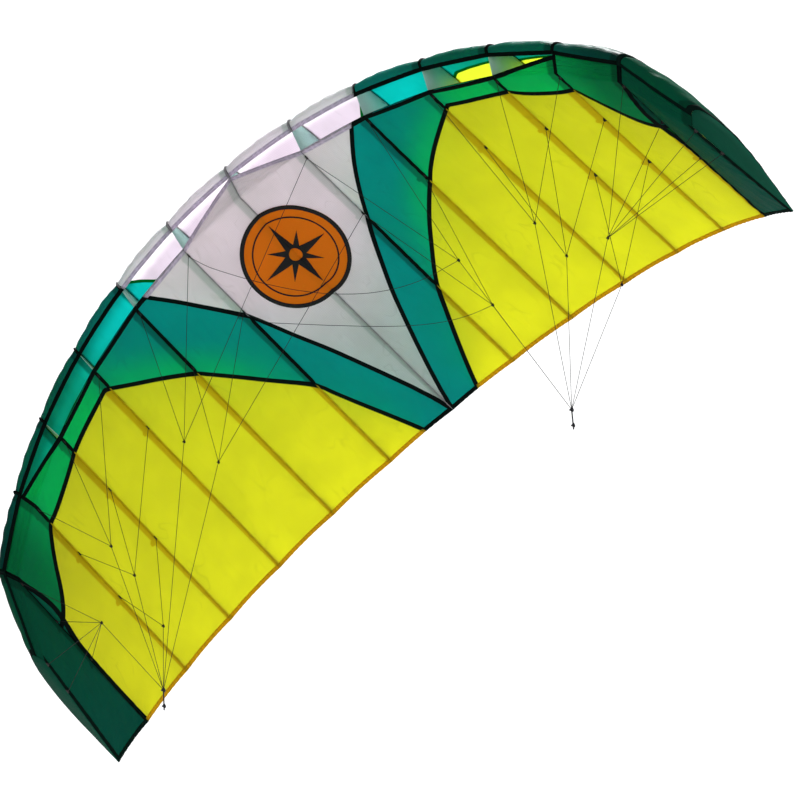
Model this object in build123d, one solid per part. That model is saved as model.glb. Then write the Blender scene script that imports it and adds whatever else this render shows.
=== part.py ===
from build123d import *
import os
from math import cos, radians, sin

os.makedirs("parts", exist_ok=True)

# A ram-air power kite in flight. Millimetres. +X runs along the span to the right tip, +Z runs
# from the trailing edge to the leading edge, and the pilot is on the -Y side.

# Wing plan
ROOT_CHORD = 1000  # underside of the centre rib, from its lower lip to its trailing edge
CELL_WIDTHS = (262, 250, 238, 226, 214, 211)  # cells on one side, centre outwards
CELL_TILTS = (2.5, 8, 14, 20.5, 28.5, 38)  # tilt of each of these cells, degrees
TIP_TILT = 49  # tilt of the closed tip cell, degrees
TIP_NOSE_WIDTH = 128
TIP_TAIL_WIDTH = 178
TIP_CHORD = 408
LIP_SWEEP = 172  # setback of the lower lip at one metre of flat span
LIP_CURL = 12  # setback added with the fourth power of the flat span in metres
TAIL_SWEEP = 13  # setback of the trailing edge at one metre of flat span
APEX = 26000  # the rib lines meet this far ahead of the wing
ROOT_HEIGHT = 194  # centre rib's underside, above the origin along Y
ROOT_LIP = 478  # centre rib's lower lip, ahead of the origin along Z

# Aerofoil, as fractions of the rib's own underside length: (ahead of the lower lip, height)
UPPER_LIP = (0.053, 0.062)
CROWN = ((0.074, 0.085), (0.070, 0.112), (0.035, 0.142), (-0.05, 0.163), (-0.16, 0.171))
BACK = ((-0.32, 0.164), (-0.52, 0.132), (-0.76, 0.071))
FACETS = 16  # flat strips that the upper line is made of, closer together round the nose
CROWDING = 1.7  # how much closer
HEM_TURN = 0.05  # share of the nose that the hem of an open lip covers
CLOSED_RIBS = (0, 5, 6, 7)  # ribs where the two lips are sewn together
LIP_SEAM = 0.6  # clearance between the sewn lips

# Cloth
SKIN = 1.2
RIB = 1.2
TAIL_GAP = 0.8  # between the two skins at the trailing edge
TAIL_THICKNESS = 2 * SKIN + TAIL_GAP
HINGE_CLEARANCE = 0.4  # between the cloth of two bodies
FOLD_RIBS = (2, 6)  # the wing folds along the outer face of these ribs
LAST_RIB = 7
PORTS = ((-0.16, 0.085, 0.045), (-0.33, 0.082, 0.043), (-0.5, 0.066, 0.034))  # in each rib

# Emblem patch on the underside, centred on the centre rib
PATCH_RADIUS = 180
PATCH_SETBACK = 262
PATCH_THICKNESS = 0.6

# Bridle
TAB_BASE = 18
TAB_END = 7
TAB_DROP = 11
TAB_BITE = 2  # a line's end inside its tab
ROW_A = 0.016  # rows of tabs, as fractions of the underside, from the lower lip
ROW_B = 0.279
ROW_C = 0.543
LINE = 1.8
CASCADE_KNOT = 6  # radius
TOW_KNOT = 8.5  # radius
KNOT_BITE = 0.8  # a line's end inside its knot
UPPER_FAN = 1.35  # lines open out by this much where they enter a knot
TOW_FAN = 2.4
LEADER = 4.5  # diameter of the sleeved leader
LEADER_LENGTH = 86
LEADER_STOP = 7  # radius of the stopper knot on the leader
LEADER_TAIL = 16
LEADER_CLEARANCE = 0.6
SIDES = {"left": -1, "right": 1}


def setback(span):
    """How far a lower lip lies behind the centre rib's, at a flat span."""
    metres = span / 1000
    return LIP_SWEEP * metres**2 + LIP_CURL * metres**4


def cell_end(count):
    """Flat span, X and Y of the rib outside this many cells, at the origin's Z."""
    span, x, y = 0, 0, ROOT_HEIGHT
    for width, tilt in zip(CELL_WIDTHS[:count], CELL_TILTS):
        span += width
        x += width * cos(radians(tilt))
        y -= width * sin(radians(tilt))
    return span, x, y


def on_rib_line(x, y, z):
    """Slides a point of the arc along its rib line to another Z."""
    share = 1 - z / APEX
    return Vector(x * share, ROOT_HEIGHT + (y - ROOT_HEIGHT) * share, z)


def mirrored(vector, side):
    return Vector(vector.X * side, vector.Y, vector.Z)


class Rib:
    """One rib: its underside, its plane, and places in its plane."""

    def __init__(self, number, side):
        span, x, y = cell_end(min(number, LAST_RIB - 1))
        lip_z = ROOT_LIP - setback(span)
        tail_z = ROOT_LIP - ROOT_CHORD - TAIL_SWEEP * (span / 1000) ** 2
        tilts = CELL_TILTS + (TIP_TILT,)
        tilt = 0 if number == 0 else (tilts[number - 1] + tilts[min(number, LAST_RIB - 1)]) / 2
        lip, tail = on_rib_line(x, y, lip_z), on_rib_line(x, y, tail_z)
        if number == LAST_RIB:
            out = Vector(cos(radians(TIP_TILT)), -sin(radians(TIP_TILT)), 0)
            lip = on_rib_line(x, y, tail_z + TIP_CHORD) + out * TIP_NOSE_WIDTH
            tail += out * TIP_TAIL_WIDTH
        up = Vector(sin(radians(tilt)), cos(radians(tilt)), 0)
        self.number = number
        self.closed = number in CLOSED_RIBS
        self.lip = mirrored(lip, side)
        self.chord = (lip - tail).length
        self.ahead = (self.lip - mirrored(tail, side)).normalized()
        self.up = mirrored(up, side)
        self.out = self.ahead.cross(self.up).normalized() * -side
        if number == 0:
            self.out = Vector(side, 0, 0)

    def at(self, ahead, height, out=0):
        """A point in millimetres from the lower lip."""
        return self.lip + self.ahead * ahead + self.up * height + self.out * out

    def scaled(self, fractions):
        return [(a * self.chord, h * self.chord) for a, h in fractions]

    def upper_points(self):
        """The upper line, from the upper lip over the crown to the trailing edge."""
        return self.scaled((UPPER_LIP,) + CROWN + BACK) + [(-self.chord, TAIL_THICKNESS)]

    def flap(self):
        """Where the lower skin ends: at the upper lip on a closed rib, in a hem on an open one."""
        ahead, height = self.scaled([UPPER_LIP])[0]
        length = (ahead**2 + height**2) ** 0.5
        share = 1 - LIP_SEAM / length if self.closed else HEM_TURN
        return ahead * share, height * share


def upper_line(rib, out):
    """The upper line as a row of points, at a distance outwards from the rib's plane."""
    curve = Edge.make_spline([rib.at(a, h, out) for a, h in rib.upper_points()])
    return [curve @ ((i / FACETS) ** CROWDING) for i in range(FACETS + 1)]


def upper_wire(rib, out):
    """The upper skin's section: the upper line and the same line moved inwards by the cloth."""
    outer = upper_line(rib, out)
    across = rib.ahead.cross(rib.up)
    inner = []
    for here, before, after in zip(outer, outer[:1] + outer[:-1], outer[1:]):
        inner.append(here + across.cross(after - before).normalized() * SKIN)
    inner.append(outer[-1] - rib.up * SKIN)
    return Wire.make_polygon(outer + inner[::-1])


def lower_wire(rib, out):
    ahead, height = rib.flap()
    reach = (ahead**2 + height**2) ** 0.5
    inward = (-height / reach * SKIN, ahead / reach * SKIN)
    corner = -SKIN * (reach - ahead) / height
    outline = [
        (-rib.chord, 0),
        (0, 0),
        (ahead, height),
        (ahead + inward[0], height + inward[1]),
        (corner, SKIN),
        (-rib.chord, SKIN),
    ]
    return Wire.make_polygon([rib.at(a, h, out) for a, h in outline])


def skin(inner_rib, outer_rib, wire):
    """Cloth between two ribs, ending on their faces and clear of a fold rib's outer face."""
    gap = HINGE_CLEARANCE if inner_rib.number in FOLD_RIBS else 0
    ends = [wire(inner_rib, RIB / 2 + gap), wire(outer_rib, -RIB / 2)]
    return Solid.make_loft(ends, ruled=True)


def rib_plate(rib):
    outline = upper_line(rib, -RIB / 2) + [rib.at(-rib.chord, 0, -RIB / 2), rib.at(0, 0, -RIB / 2)]
    ports = []
    for ahead, height, radius in PORTS:
        centre = rib.at(ahead * rib.chord, height * rib.chord, -RIB / 2)
        ports.append(Wire.make_circle(radius * rib.chord, Plane(centre, rib.ahead, rib.out)))
    inner = [] if rib.number in (0, LAST_RIB) else ports
    return Solid.extrude(Face(Wire.make_polygon(outline), inner), rib.out * RIB)


def tab(rib, row):
    """A stitched bridle tab, in its rib's plane, below the underside."""
    middle = -row * rib.chord - TAB_BASE / 2
    outline = [
        (middle - TAB_BASE / 2, 0),
        (middle + TAB_BASE / 2, 0),
        (middle + TAB_END / 2, -TAB_DROP),
        (middle - TAB_END / 2, -TAB_DROP),
    ]
    corners = [rib.at(a, h, -RIB / 2) for a, h in outline]
    return Solid.extrude(Face(Wire.make_polygon(corners)), rib.out * RIB)


def tab_end(rib, row, shift=0):
    """Where a line leaves a tab."""
    return rib.at(-row * rib.chord - TAB_BASE / 2 + shift, TAB_BITE - TAB_DROP)


def fan(centre, targets, radius, spread):
    """The places where lines to these targets enter a knot, opened out so that they stay apart."""
    ways = [(target - centre).normalized() for target in targets]
    middle = sum(ways, Vector(0, 0, 0)) * (1 / len(ways))
    return [centre + (middle + (way - middle) * spread).normalized() * radius for way in ways]


def straight_line(start, end, diameter=LINE):
    return Solid.make_cylinder(diameter / 2, (end - start).length, Plane(start, z_dir=end - start))


def ball(centre, radius):
    return Solid.make_sphere(radius, Plane(centre))


# Where the lines meet. The kite is steering, so the right side's knots hang lower than the left's.
KNOTS = {
    "left": {
        "a_inner": (-536, -310, 124),
        "b_inner": (-503, -312, 0),
        "a_outer": (-877, -531, 79),
        "b_outer": (-882, -557, -36),
        "c_outer": (-942, -543, -231),
        "tip": (-1046, -631, -65),
        "tow": (-801, -1301, -151),
    },
    "right": {
        "a_inner": (540, -310, 8),
        "b_inner": (516, -312, -176),
        "a_outer": (878, -531, 12),
        "b_outer": (885, -557, -128),
        "c_outer": (942, -543, -320),
        "tip": (1046, -631, -145),
        "tow": (793, -1301, -285),
    },
}

# Points between tab and knot of the two crossing lines that hang slack, from the left wing's tabs
SLACK_A = (
    (-231, 146, 392), (-194, 116, 351), (-156, 87, 311), (-117, 57, 272), (-76, 28, 235),
    (-34, -2, 199), (10, -32, 166), (55, -62, 136), (102, -91, 108), (150, -120, 83),
    (200, -149, 61), (252, -177, 43), (306, -205, 28), (361, -232, 18), (418, -258, 11),
    (477, -283, 10),
)  # fmt: skip
SLACK_B = (
    (-224, 144, 120), (-178, 114, 95), (-132, 84, 69), (-85, 54, 43), (-38, 24, 16),
    (10, -6, -10), (58, -37, -36), (106, -68, -61), (155, -99, -85), (204, -130, -107),
    (254, -161, -127), (304, -192, -144), (355, -222, -158), (407, -252, -168), (460, -281, -174),
)  # fmt: skip

# Each cascade: its knot, and the tabs it gathers as (rib, row)
CASCADES = {
    "a_inner": ((1, ROW_A), (2, ROW_A)),
    "b_inner": ((1, ROW_B), (2, ROW_B)),
    "a_outer": ((3, ROW_A), (4, ROW_A), (5, ROW_A)),
    "b_outer": ((3, ROW_B), (4, ROW_B), (5, ROW_B)),
    "c_outer": ((4, ROW_C), (5, ROW_C)),
    "tip": ((6, ROW_A), (6, ROW_B), (6, ROW_C)),
}
CROSSING = {"a_inner": (ROW_A, SLACK_A), "b_inner": (ROW_B, SLACK_B)}
TIP_TABS = ((7, ROW_A), (7, ROW_B))
TAB_ROWS = {
    1: (ROW_A, ROW_B),
    2: (ROW_A, ROW_B),
    3: (ROW_A, ROW_B),
    4: (ROW_A, ROW_B, ROW_C),
    5: (ROW_A, ROW_B, ROW_C),
    6: (ROW_A, ROW_B, ROW_C),
    7: (ROW_A, ROW_B),
}
INNER_KNOTS = ("a_inner", "b_inner")
OUTER_KNOTS = ("a_outer", "b_outer", "c_outer", "tip")
SHIFT = 1.7  # two lines on one tab lie this far each side of its middle
LEADER_WAY = Vector(0, -1, -0.12).normalized()


def knot(side_name, name):
    return Vector(*KNOTS[side_name][name])


def save(name, solids):
    """Writes one node."""
    export_step(solids[0] if len(solids) == 1 else Compound(children=solids), f"parts/{name}.step")
    NODES[name] = solids


def slack_line(points, label):
    """A limp line's tube: straight runs joined by the largest arcs that they have room for."""
    runs = [b - a for a, b in zip(points, points[1:])]
    radii = []
    for before, after in zip(runs, runs[1:]):
        half_turn = radians(before.get_angle(after)) / 2
        radii.append(0.45 * min(before.length, after.length) * cos(half_turn) / sin(half_turn))
    path = FilletPolyline(*points, radius=radii)
    print(f"{label}: length {path.length:.0f}, smallest radius {min(radii):.0f}")
    section = Plane(points[0], z_dir=runs[0]) * Circle(LINE / 2)
    return sweep(section, path=path).solid()


def bridle_line(points, label):
    return straight_line(*points) if len(points) == 2 else slack_line(points, label)


def crossing_start(side_name, name):
    """A crossing line's points from the far wing's tab to near the knot; only one side's are slack."""
    row, slack = CROSSING[name]
    if side_name == "left":
        return [tab_end(RIBS["right"][1], row, -SHIFT)]
    return [tab_end(RIBS["left"][1], row, -SHIFT)] + [Vector(*point) for point in slack]


def cascade(side_name, name):
    """The lines that one knot gathers, fused with their knot."""
    centre = knot(side_name, name)
    shift = SHIFT if name in INNER_KNOTS else 0
    starts = []
    for number, row in CASCADES[name]:
        starts.append([tab_end(RIBS[side_name][number], row, shift if number == 1 else 0)])
    if name in CROSSING:
        starts.append(crossing_start(side_name, name))
    targets = [points[-1] for points in starts]
    if name == "tip":
        targets += [tab_end(RIBS[side_name][number], row) for number, row in TIP_TABS]
    ends = fan(centre, targets, CASCADE_KNOT - KNOT_BITE, UPPER_FAN)
    solid = ball(centre, CASCADE_KNOT)
    for points, end in zip(starts, ends):
        solid = solid.fuse(bridle_line(points + [end], f"slack {name}"))
    return solid.solid()


def main_line(side_name, name, tow_end):
    """One line from a cascade's knot to the tow knot."""
    centre = knot(side_name, name)
    start = centre + (tow_end - centre).normalized() * (CASCADE_KNOT - KNOT_BITE)
    return straight_line(start, tow_end)


def tow_ends(side_name):
    """Where each main line meets the tow knot: into it from the centre, clear of it from a wing."""
    centre = knot(side_name, "tow")
    names = INNER_KNOTS + OUTER_KNOTS
    targets = [knot(side_name, name) for name in names]
    inside = fan(centre, targets, TOW_KNOT - KNOT_BITE, TOW_FAN)
    outside = fan(centre, targets, TOW_KNOT + HINGE_CLEARANCE, TOW_FAN)
    return {n: inside[i] if n in INNER_KNOTS else outside[i] for i, n in enumerate(names)}


def tip_lines(side_name):
    """The lines from the tip rib's tabs, ending clear of the tip cascade's knot."""
    centre = knot(side_name, "tip")
    tabs = CASCADES["tip"] + TIP_TABS
    targets = [tab_end(RIBS[side_name][number], row) for number, row in tabs]
    ends = fan(centre, targets, CASCADE_KNOT + HINGE_CLEARANCE, UPPER_FAN)
    first = len(CASCADES["tip"])
    return [straight_line(start, end) for start, end in zip(targets[first:], ends[first:])]


def leader(side_name):
    """A sleeved leader with a stopper knot, turning about the tow knot's centre."""
    centre = knot(side_name, "tow")
    start = centre + LEADER_WAY * (TOW_KNOT + LEADER_CLEARANCE)
    stop = start + LEADER_WAY * LEADER_LENGTH
    end = stop + LEADER_WAY * (LEADER_STOP + LEADER_TAIL)
    return straight_line(start, end, LEADER).fuse(ball(stop, LEADER_STOP)).solid()


def patch_half(side):
    """Half of the round emblem patch, against the underside of one cell beside the centre rib."""
    tilt = radians(CELL_TILTS[0])
    across = Vector(cos(tilt) * side, -sin(tilt), 0)
    centre = Vector(0, ROOT_HEIGHT, ROOT_LIP - PATCH_SETBACK)
    top, bottom = Vector(0, 0, PATCH_RADIUS), Vector(0, 0, -PATCH_RADIUS)
    rim = Edge.make_three_point_arc(centre + top, centre + across * PATCH_RADIUS, centre + bottom)
    face = Face(Wire([rim, Edge.make_line(centre + bottom, centre + top)]))
    down = Vector(-sin(tilt) * side, -cos(tilt), 0)
    return Solid.extrude(face, down * PATCH_THICKNESS)


NODES = {}
RIBS = {name: [Rib(n, side) for n in range(LAST_RIB + 1)] for name, side in SIDES.items()}

save("rib_centre", [rib_plate(RIBS["right"][0])])
save("emblem_patch", [patch_half(1).fuse(patch_half(-1)).solid()])
centre_tabs, centre_cascades, centre_mains, tow_knots = [], [], [], []
for side_name in SIDES:
    ribs = RIBS[side_name]
    for inner_rib, outer_rib in zip(ribs, ribs[1:]):
        number = outer_rib.number
        save(f"rib_{side_name}_{number}", [rib_plate(outer_rib)])
        save(f"upper_skin_{side_name}_{number}", [skin(inner_rib, outer_rib, upper_wire)])
        save(f"lower_skin_{side_name}_{number}", [skin(inner_rib, outer_rib, lower_wire)])
    centre_tabs += [tab(ribs[n], row) for n in (1, 2) for row in TAB_ROWS[n]]
    wing_tabs = [tab(ribs[n], row) for n in (3, 4, 5, 6) for row in TAB_ROWS[n]]
    save(f"bridle_tabs_{side_name}_wing", wing_tabs)
    save(f"bridle_tabs_{side_name}_tip", [tab(ribs[LAST_RIB], row) for row in TAB_ROWS[LAST_RIB]])
    ends = tow_ends(side_name)
    centre_cascades += [cascade(side_name, name) for name in INNER_KNOTS]
    centre_mains += [main_line(side_name, name, ends[name]) for name in INNER_KNOTS]
    save(f"bridle_cascades_{side_name}_wing", [cascade(side_name, name) for name in OUTER_KNOTS])
    wing_mains = [main_line(side_name, name, ends[name]) for name in OUTER_KNOTS]
    save(f"main_lines_{side_name}_wing", wing_mains)
    save(f"bridle_lines_{side_name}_tip", tip_lines(side_name))
    tow_knots.append(ball(knot(side_name, "tow"), TOW_KNOT))
    save(f"tow_leader_{side_name}", [leader(side_name)])
save("bridle_tabs_centre", centre_tabs)
save("bridle_cascades_centre", centre_cascades)
save("main_lines_centre", centre_mains)
save("tow_knots", tow_knots)

cloth = [s for name in NODES if name.startswith(("rib", "upper", "lower")) for s in NODES[name]]
box = Compound(children=cloth).bounding_box()
print(f"{len(NODES)} nodes; wing from {box.min} to {box.max}")
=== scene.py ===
"""A ram-air power kite in flight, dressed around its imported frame: skins, ribs, hems, patch and bridle."""

import logging
import math
from dataclasses import dataclass, replace
from enum import Enum
from typing import Callable, Iterable, Sequence

import bmesh
import bpy
import numpy as np
from mathutils import Matrix, Vector, noise


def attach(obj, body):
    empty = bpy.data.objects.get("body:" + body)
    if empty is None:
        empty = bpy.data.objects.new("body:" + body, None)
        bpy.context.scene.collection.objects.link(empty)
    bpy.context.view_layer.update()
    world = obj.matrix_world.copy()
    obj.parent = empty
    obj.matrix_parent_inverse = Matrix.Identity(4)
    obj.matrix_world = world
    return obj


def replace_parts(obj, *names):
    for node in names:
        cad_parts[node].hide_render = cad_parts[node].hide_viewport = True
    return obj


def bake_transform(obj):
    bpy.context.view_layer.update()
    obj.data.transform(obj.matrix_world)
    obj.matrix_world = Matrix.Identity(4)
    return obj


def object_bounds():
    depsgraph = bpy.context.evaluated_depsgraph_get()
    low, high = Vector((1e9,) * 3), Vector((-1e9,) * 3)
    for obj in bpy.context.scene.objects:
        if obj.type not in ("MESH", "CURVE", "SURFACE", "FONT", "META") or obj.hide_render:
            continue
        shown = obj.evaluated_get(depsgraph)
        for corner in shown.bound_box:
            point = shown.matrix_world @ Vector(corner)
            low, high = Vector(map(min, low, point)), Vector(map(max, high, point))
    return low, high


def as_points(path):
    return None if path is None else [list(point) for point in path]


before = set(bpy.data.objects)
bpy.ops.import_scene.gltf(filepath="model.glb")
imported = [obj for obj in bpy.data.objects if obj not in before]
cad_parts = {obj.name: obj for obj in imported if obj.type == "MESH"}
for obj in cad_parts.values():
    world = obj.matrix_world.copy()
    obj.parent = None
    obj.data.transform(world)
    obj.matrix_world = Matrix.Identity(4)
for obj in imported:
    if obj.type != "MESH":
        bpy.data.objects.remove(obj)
CAD_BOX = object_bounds()
LOG = logging.getLogger("kite")
Point = Sequence[float]
Colour = tuple[float, float, float]
Shape = tuple[np.ndarray, dict[str, np.ndarray], np.ndarray]  # points, attributes and metric UVs
Bending = Callable[[np.ndarray, np.ndarray], Shape]
Outline = Callable[[np.ndarray], np.ndarray]  # a radius for each angle


class Side(Enum):
    """The two sides of the wing, with the sign of X on each."""

    LEFT = -1
    RIGHT = 1

    @property
    def word(self) -> str:
        """The side's name as the nodes spell it."""
        return self.name.lower()


class Layer(Enum):
    """The two skins of a cell."""

    LOWER = "lower"
    UPPER = "upper"


# ---------------------------------------------------------------- the wing's plan


@dataclass(frozen=True)
class WingPlan:
    """The driving dimensions of the wing, in metres and degrees."""

    root_chord: float = 1.0
    cell_widths: tuple[float, ...] = (0.262, 0.250, 0.238, 0.226, 0.214, 0.211)
    tilts: tuple[float, ...] = (2.5, 8, 14, 20.5, 28.5, 38, 49)
    tip_nose_width: float = 0.128
    tip_tail_width: float = 0.178
    tip_chord: float = 0.408
    lip_sweep: float = 0.172
    lip_curl: float = 0.012
    tail_sweep: float = 0.013
    apex: float = 26.0
    root_height: float = 0.194
    root_lip: float = 0.478
    upper_lip: tuple[float, float] = (0.053, 0.062)
    crown: tuple = ((0.074, 0.085), (0.070, 0.112), (0.035, 0.142), (-0.05, 0.163), (-0.16, 0.171))
    back: tuple = ((-0.32, 0.164), (-0.52, 0.132), (-0.76, 0.071))
    tail_thickness: float = 0.0032
    hem_turn: float = 0.05
    closed_ribs: tuple[int, ...] = (0, 5, 6, 7)
    last_rib: int = 7
    ports: tuple = ((-0.16, 0.085, 0.045), (-0.33, 0.082, 0.043), (-0.5, 0.066, 0.034))

    def setback(self, span: float) -> float:
        """How far a lower lip lies behind the centre rib's, at a flat span."""
        return self.lip_sweep * span**2 + self.lip_curl * span**4

    def cell_end(self, count: int) -> tuple[float, float, float]:
        """Flat span, X and Y of the rib outside this many cells.

        Args:
            count: number of cells, from the centre outwards.
        Returns:
            The span along the cloth, X and Y at the origin's Z.
        """
        span, x, y = 0.0, 0.0, self.root_height
        for width, tilt in zip(self.cell_widths[:count], self.tilts):
            span += width
            x += width * math.cos(math.radians(tilt))
            y -= width * math.sin(math.radians(tilt))
        return span, x, y

    def on_rib_line(self, x: float, y: float, z: float) -> np.ndarray:
        """Slides a point of the arc along its rib line to another Z."""
        share = 1 - z / self.apex
        return np.array([x * share, self.root_height + (y - self.root_height) * share, z])


PLAN = WingPlan()


def unit(vector: np.ndarray) -> np.ndarray:
    """The vector, or each row of it, at length one."""
    return vector / np.linalg.norm(vector, axis=-1, keepdims=True)


def noise_field(x: np.ndarray, y: np.ndarray, z: np.ndarray | float) -> np.ndarray:
    """Smooth noise at places.

    Args:
        x: the places' first coordinates, in the noise's own unit.
        y: their second coordinates.
        z: their third coordinates, or one for all.
    Returns:
        A value from -1 to 1 for each place.
    """
    return np.array([noise.noise(place) for place in zip(*np.broadcast_arrays(x, y, z))])


def smooth_line(points: np.ndarray, steps: int = 24) -> np.ndarray:
    """A smooth curve through points, evenly spaced along its length.

    Args:
        points: rows of coordinates that the curve passes through.
        steps: samples on each span between two points.
    Returns:
        Rows of coordinates along the curve.
    """
    ends = np.vstack([2 * points[0] - points[1], points, 2 * points[-1] - points[-2]])
    knots = np.concatenate([[0], np.cumsum(np.linalg.norm(np.diff(ends, axis=0), axis=1) ** 0.5)])
    rows = []
    for i in range(1, len(ends) - 2):
        p0, p1, p2, p3 = ends[i - 1:i + 3]
        t0, t1, t2, t3 = knots[i - 1:i + 3]
        t = np.linspace(t1, t2, steps, endpoint=False)[:, None]
        a1 = (t1 - t) / (t1 - t0) * p0 + (t - t0) / (t1 - t0) * p1
        a2 = (t2 - t) / (t2 - t1) * p1 + (t - t1) / (t2 - t1) * p2
        a3 = (t3 - t) / (t3 - t2) * p2 + (t - t2) / (t3 - t2) * p3
        b1 = (t2 - t) / (t2 - t0) * a1 + (t - t0) / (t2 - t0) * a2
        b2 = (t3 - t) / (t3 - t1) * a2 + (t - t1) / (t3 - t1) * a3
        rows.append((t2 - t) / (t2 - t1) * b1 + (t - t1) / (t2 - t1) * b2)
    curve = np.vstack(rows + [points[-1:]])
    along = np.concatenate([[0], np.cumsum(np.linalg.norm(np.diff(curve, axis=0), axis=1))])
    even = np.linspace(0, along[-1], len(curve))
    return np.column_stack([np.interp(even, along, curve[:, k]) for k in range(curve.shape[1])])


class Rib:
    """One rib: its underside, its plane, and places in its plane."""

    def __init__(self, number: int, side: Side) -> None:
        """Places the rib.

        Args:
            number: 0 at the centre to 7 at the tip.
            side: which half of the wing it is on.
        """
        last = PLAN.last_rib
        self.span, x, y = PLAN.cell_end(min(number, last - 1))
        lip_z = PLAN.root_lip - PLAN.setback(self.span)
        tail_z = PLAN.root_lip - PLAN.root_chord - PLAN.tail_sweep * self.span**2
        tilt = 0 if number == 0 else (PLAN.tilts[number - 1] + PLAN.tilts[min(number, last - 1)]) / 2
        lip, tail = PLAN.on_rib_line(x, y, lip_z), PLAN.on_rib_line(x, y, tail_z)
        if number == last:
            turn = math.radians(PLAN.tilts[-1])
            out = np.array([math.cos(turn), -math.sin(turn), 0])
            lip = PLAN.on_rib_line(x, y, tail_z + PLAN.tip_chord) + out * PLAN.tip_nose_width
            tail = tail + out * PLAN.tip_tail_width
            self.span += PLAN.tip_tail_width
        mirror = np.array([side.value, 1, 1])
        self.number, self.side = number, side
        self.lip = lip * mirror
        self.chord = float(np.linalg.norm(lip - tail))
        self.ahead = unit((lip - tail) * mirror)
        self.up = np.array([math.sin(math.radians(tilt)) * side.value, math.cos(math.radians(tilt)), 0])
        self.out = unit(np.cross(self.ahead, self.up)) * -side.value
        if number == 0:
            self.out = np.array([float(side.value), 0, 0])
        fractions = np.array((PLAN.upper_lip,) + PLAN.crown + PLAN.back) * self.chord
        self.upper_line = smooth_line(np.vstack([fractions, [-self.chord, PLAN.tail_thickness]]))
        share = 1.0 if number in PLAN.closed_ribs else PLAN.hem_turn
        self.flap = np.array(PLAN.upper_lip) * self.chord * share

    def at(self, ahead: np.ndarray, height: np.ndarray, out: float = 0.0) -> np.ndarray:
        """Points in metres from the lower lip, in and beside the rib's plane."""
        ahead, height = np.atleast_1d(ahead)[:, None], np.atleast_1d(height)[:, None]
        return self.lip + self.ahead * ahead + self.up * height + self.out * out

    def under(self, place: np.ndarray) -> np.ndarray:
        """The lower line.

        Args:
            place: -1 at the flap's end, 0 at the lower lip, 1 at the trailing edge.
        Returns:
            Rows of X, Y, Z.
        """
        flap = np.clip(-place, 0, 1)
        ahead = self.flap[0] * flap - np.clip(place, 0, 1) * self.chord
        return self.at(ahead, self.flap[1] * flap)

    def over(self, place: np.ndarray) -> np.ndarray:
        """The upper line: 0 is the upper lip and 1 the trailing edge."""
        share = np.linspace(0, 1, len(self.upper_line))
        return self.at(*(np.interp(place, share, self.upper_line[:, k]) for k in (0, 1)))

    def over_normal(self, place: np.ndarray) -> np.ndarray:
        """The outward direction on the upper line.

        Args:
            place: 0 at the upper lip, 1 at the trailing edge.
        Returns:
            Rows of unit vectors.
        """
        step = 0.004
        way = self.over(np.clip(place + step, 0, 1)) - self.over(np.clip(place - step, 0, 1))
        return unit(np.cross(way, np.cross(self.ahead, self.up)))


RIBS = {side: [Rib(n, side) for n in range(PLAN.last_rib + 1)] for side in Side}


@dataclass(frozen=True)
class PanelPlan:
    """Where the cloth changes colour, as (flat span, distance behind the centre rib's lower lip)."""

    white_edge: tuple = (
        (0.512, -0.20), (0.512, -0.02), (0.470, 0.030), (0.376, 0.143), (0.258, 0.325),
        (0.191, 0.464), (0.130, 0.602), (0.000, 1.000), (0.000, 1.100),
    )
    inner_band: tuple = (
        (0.078, 1.120), (0.109, 1.000), (0.232, 0.708), (0.265, 0.637), (0.363, 0.511),
        (0.436, 0.425), (0.535, 0.326), (0.612, 0.267), (0.700, 0.212), (0.768, 0.172),
    )
    outer_band: tuple = (
        (0.768, 0.172), (0.860, 0.199), (0.935, 0.226), (1.010, 0.262), (1.090, 0.300),
        (1.160, 0.334), (1.195, 0.350), (1.240, 0.395), (1.280, 0.446), (1.315, 0.500),
        (1.350, 0.548), (1.380, 0.580), (1.420, 0.610),
    )
    tip_edge: tuple = (
        (1.401, 0.300), (1.398, 0.400), (1.386, 0.455), (1.377, 0.530), (1.383, 0.590),
        (1.396, 0.665), (1.401, 0.760), (1.401, 1.080),
    )
    upper_advance: float = 0.020  # how much further forward the yellow starts on the upper skin

    def distance(self, line: np.ndarray, span: np.ndarray, back: np.ndarray) -> np.ndarray:
        """Signed distance to a line, positive on its right hand going along it.

        Args:
            line: rows of (span, back).
            span: flat span of each place.
            back: distance behind the centre lip of each place.
        Returns:
            Metres, one for each place.
        """
        place = np.column_stack([span, back])[:, None, :]
        start, way = line[None, :-1], np.diff(line, axis=0)[None]
        share = np.clip(((place - start) * way).sum(-1) / (way**2).sum(-1), 0, 1)
        gap = place - start - way * share[..., None]
        length = np.linalg.norm(gap, axis=-1)
        nearest = length.argmin(1)
        rows = np.arange(len(span))
        turn = way[0, nearest, 0] * gap[rows, nearest, 1] - way[0, nearest, 1] * gap[rows, nearest, 0]
        return length[rows, nearest] * np.where(turn > 0, 1.0, -1.0)

    def edges(self, span: np.ndarray, back: np.ndarray, upper: bool = False) -> dict[str, np.ndarray]:
        """Signed distances that the cloth's materials read, positive inside each panel.

        Args:
            span: flat span of each place.
            back: distance behind the centre lip of each place.
            upper: whether they lie on the upper skin.
        Returns:
            Metres for each place, by edge.
        """
        white = smooth_line(np.array(self.white_edge), 5)
        inner, outer = (smooth_line(np.array(part), 5) for part in (self.inner_band, self.outer_band))
        band = np.vstack([inner, outer[1:]])
        tip = smooth_line(np.array(self.tip_edge), 5)
        if upper:
            tip[:, 0] = self.tip_edge[0][0]
        return {
            "white_edge": self.distance(white, span, back),
            "band_edge": -self.distance(band, span, back + self.upper_advance * upper),
            "tip_edge": self.distance(tip, span, back),
        }


PANELS = PanelPlan()


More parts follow.
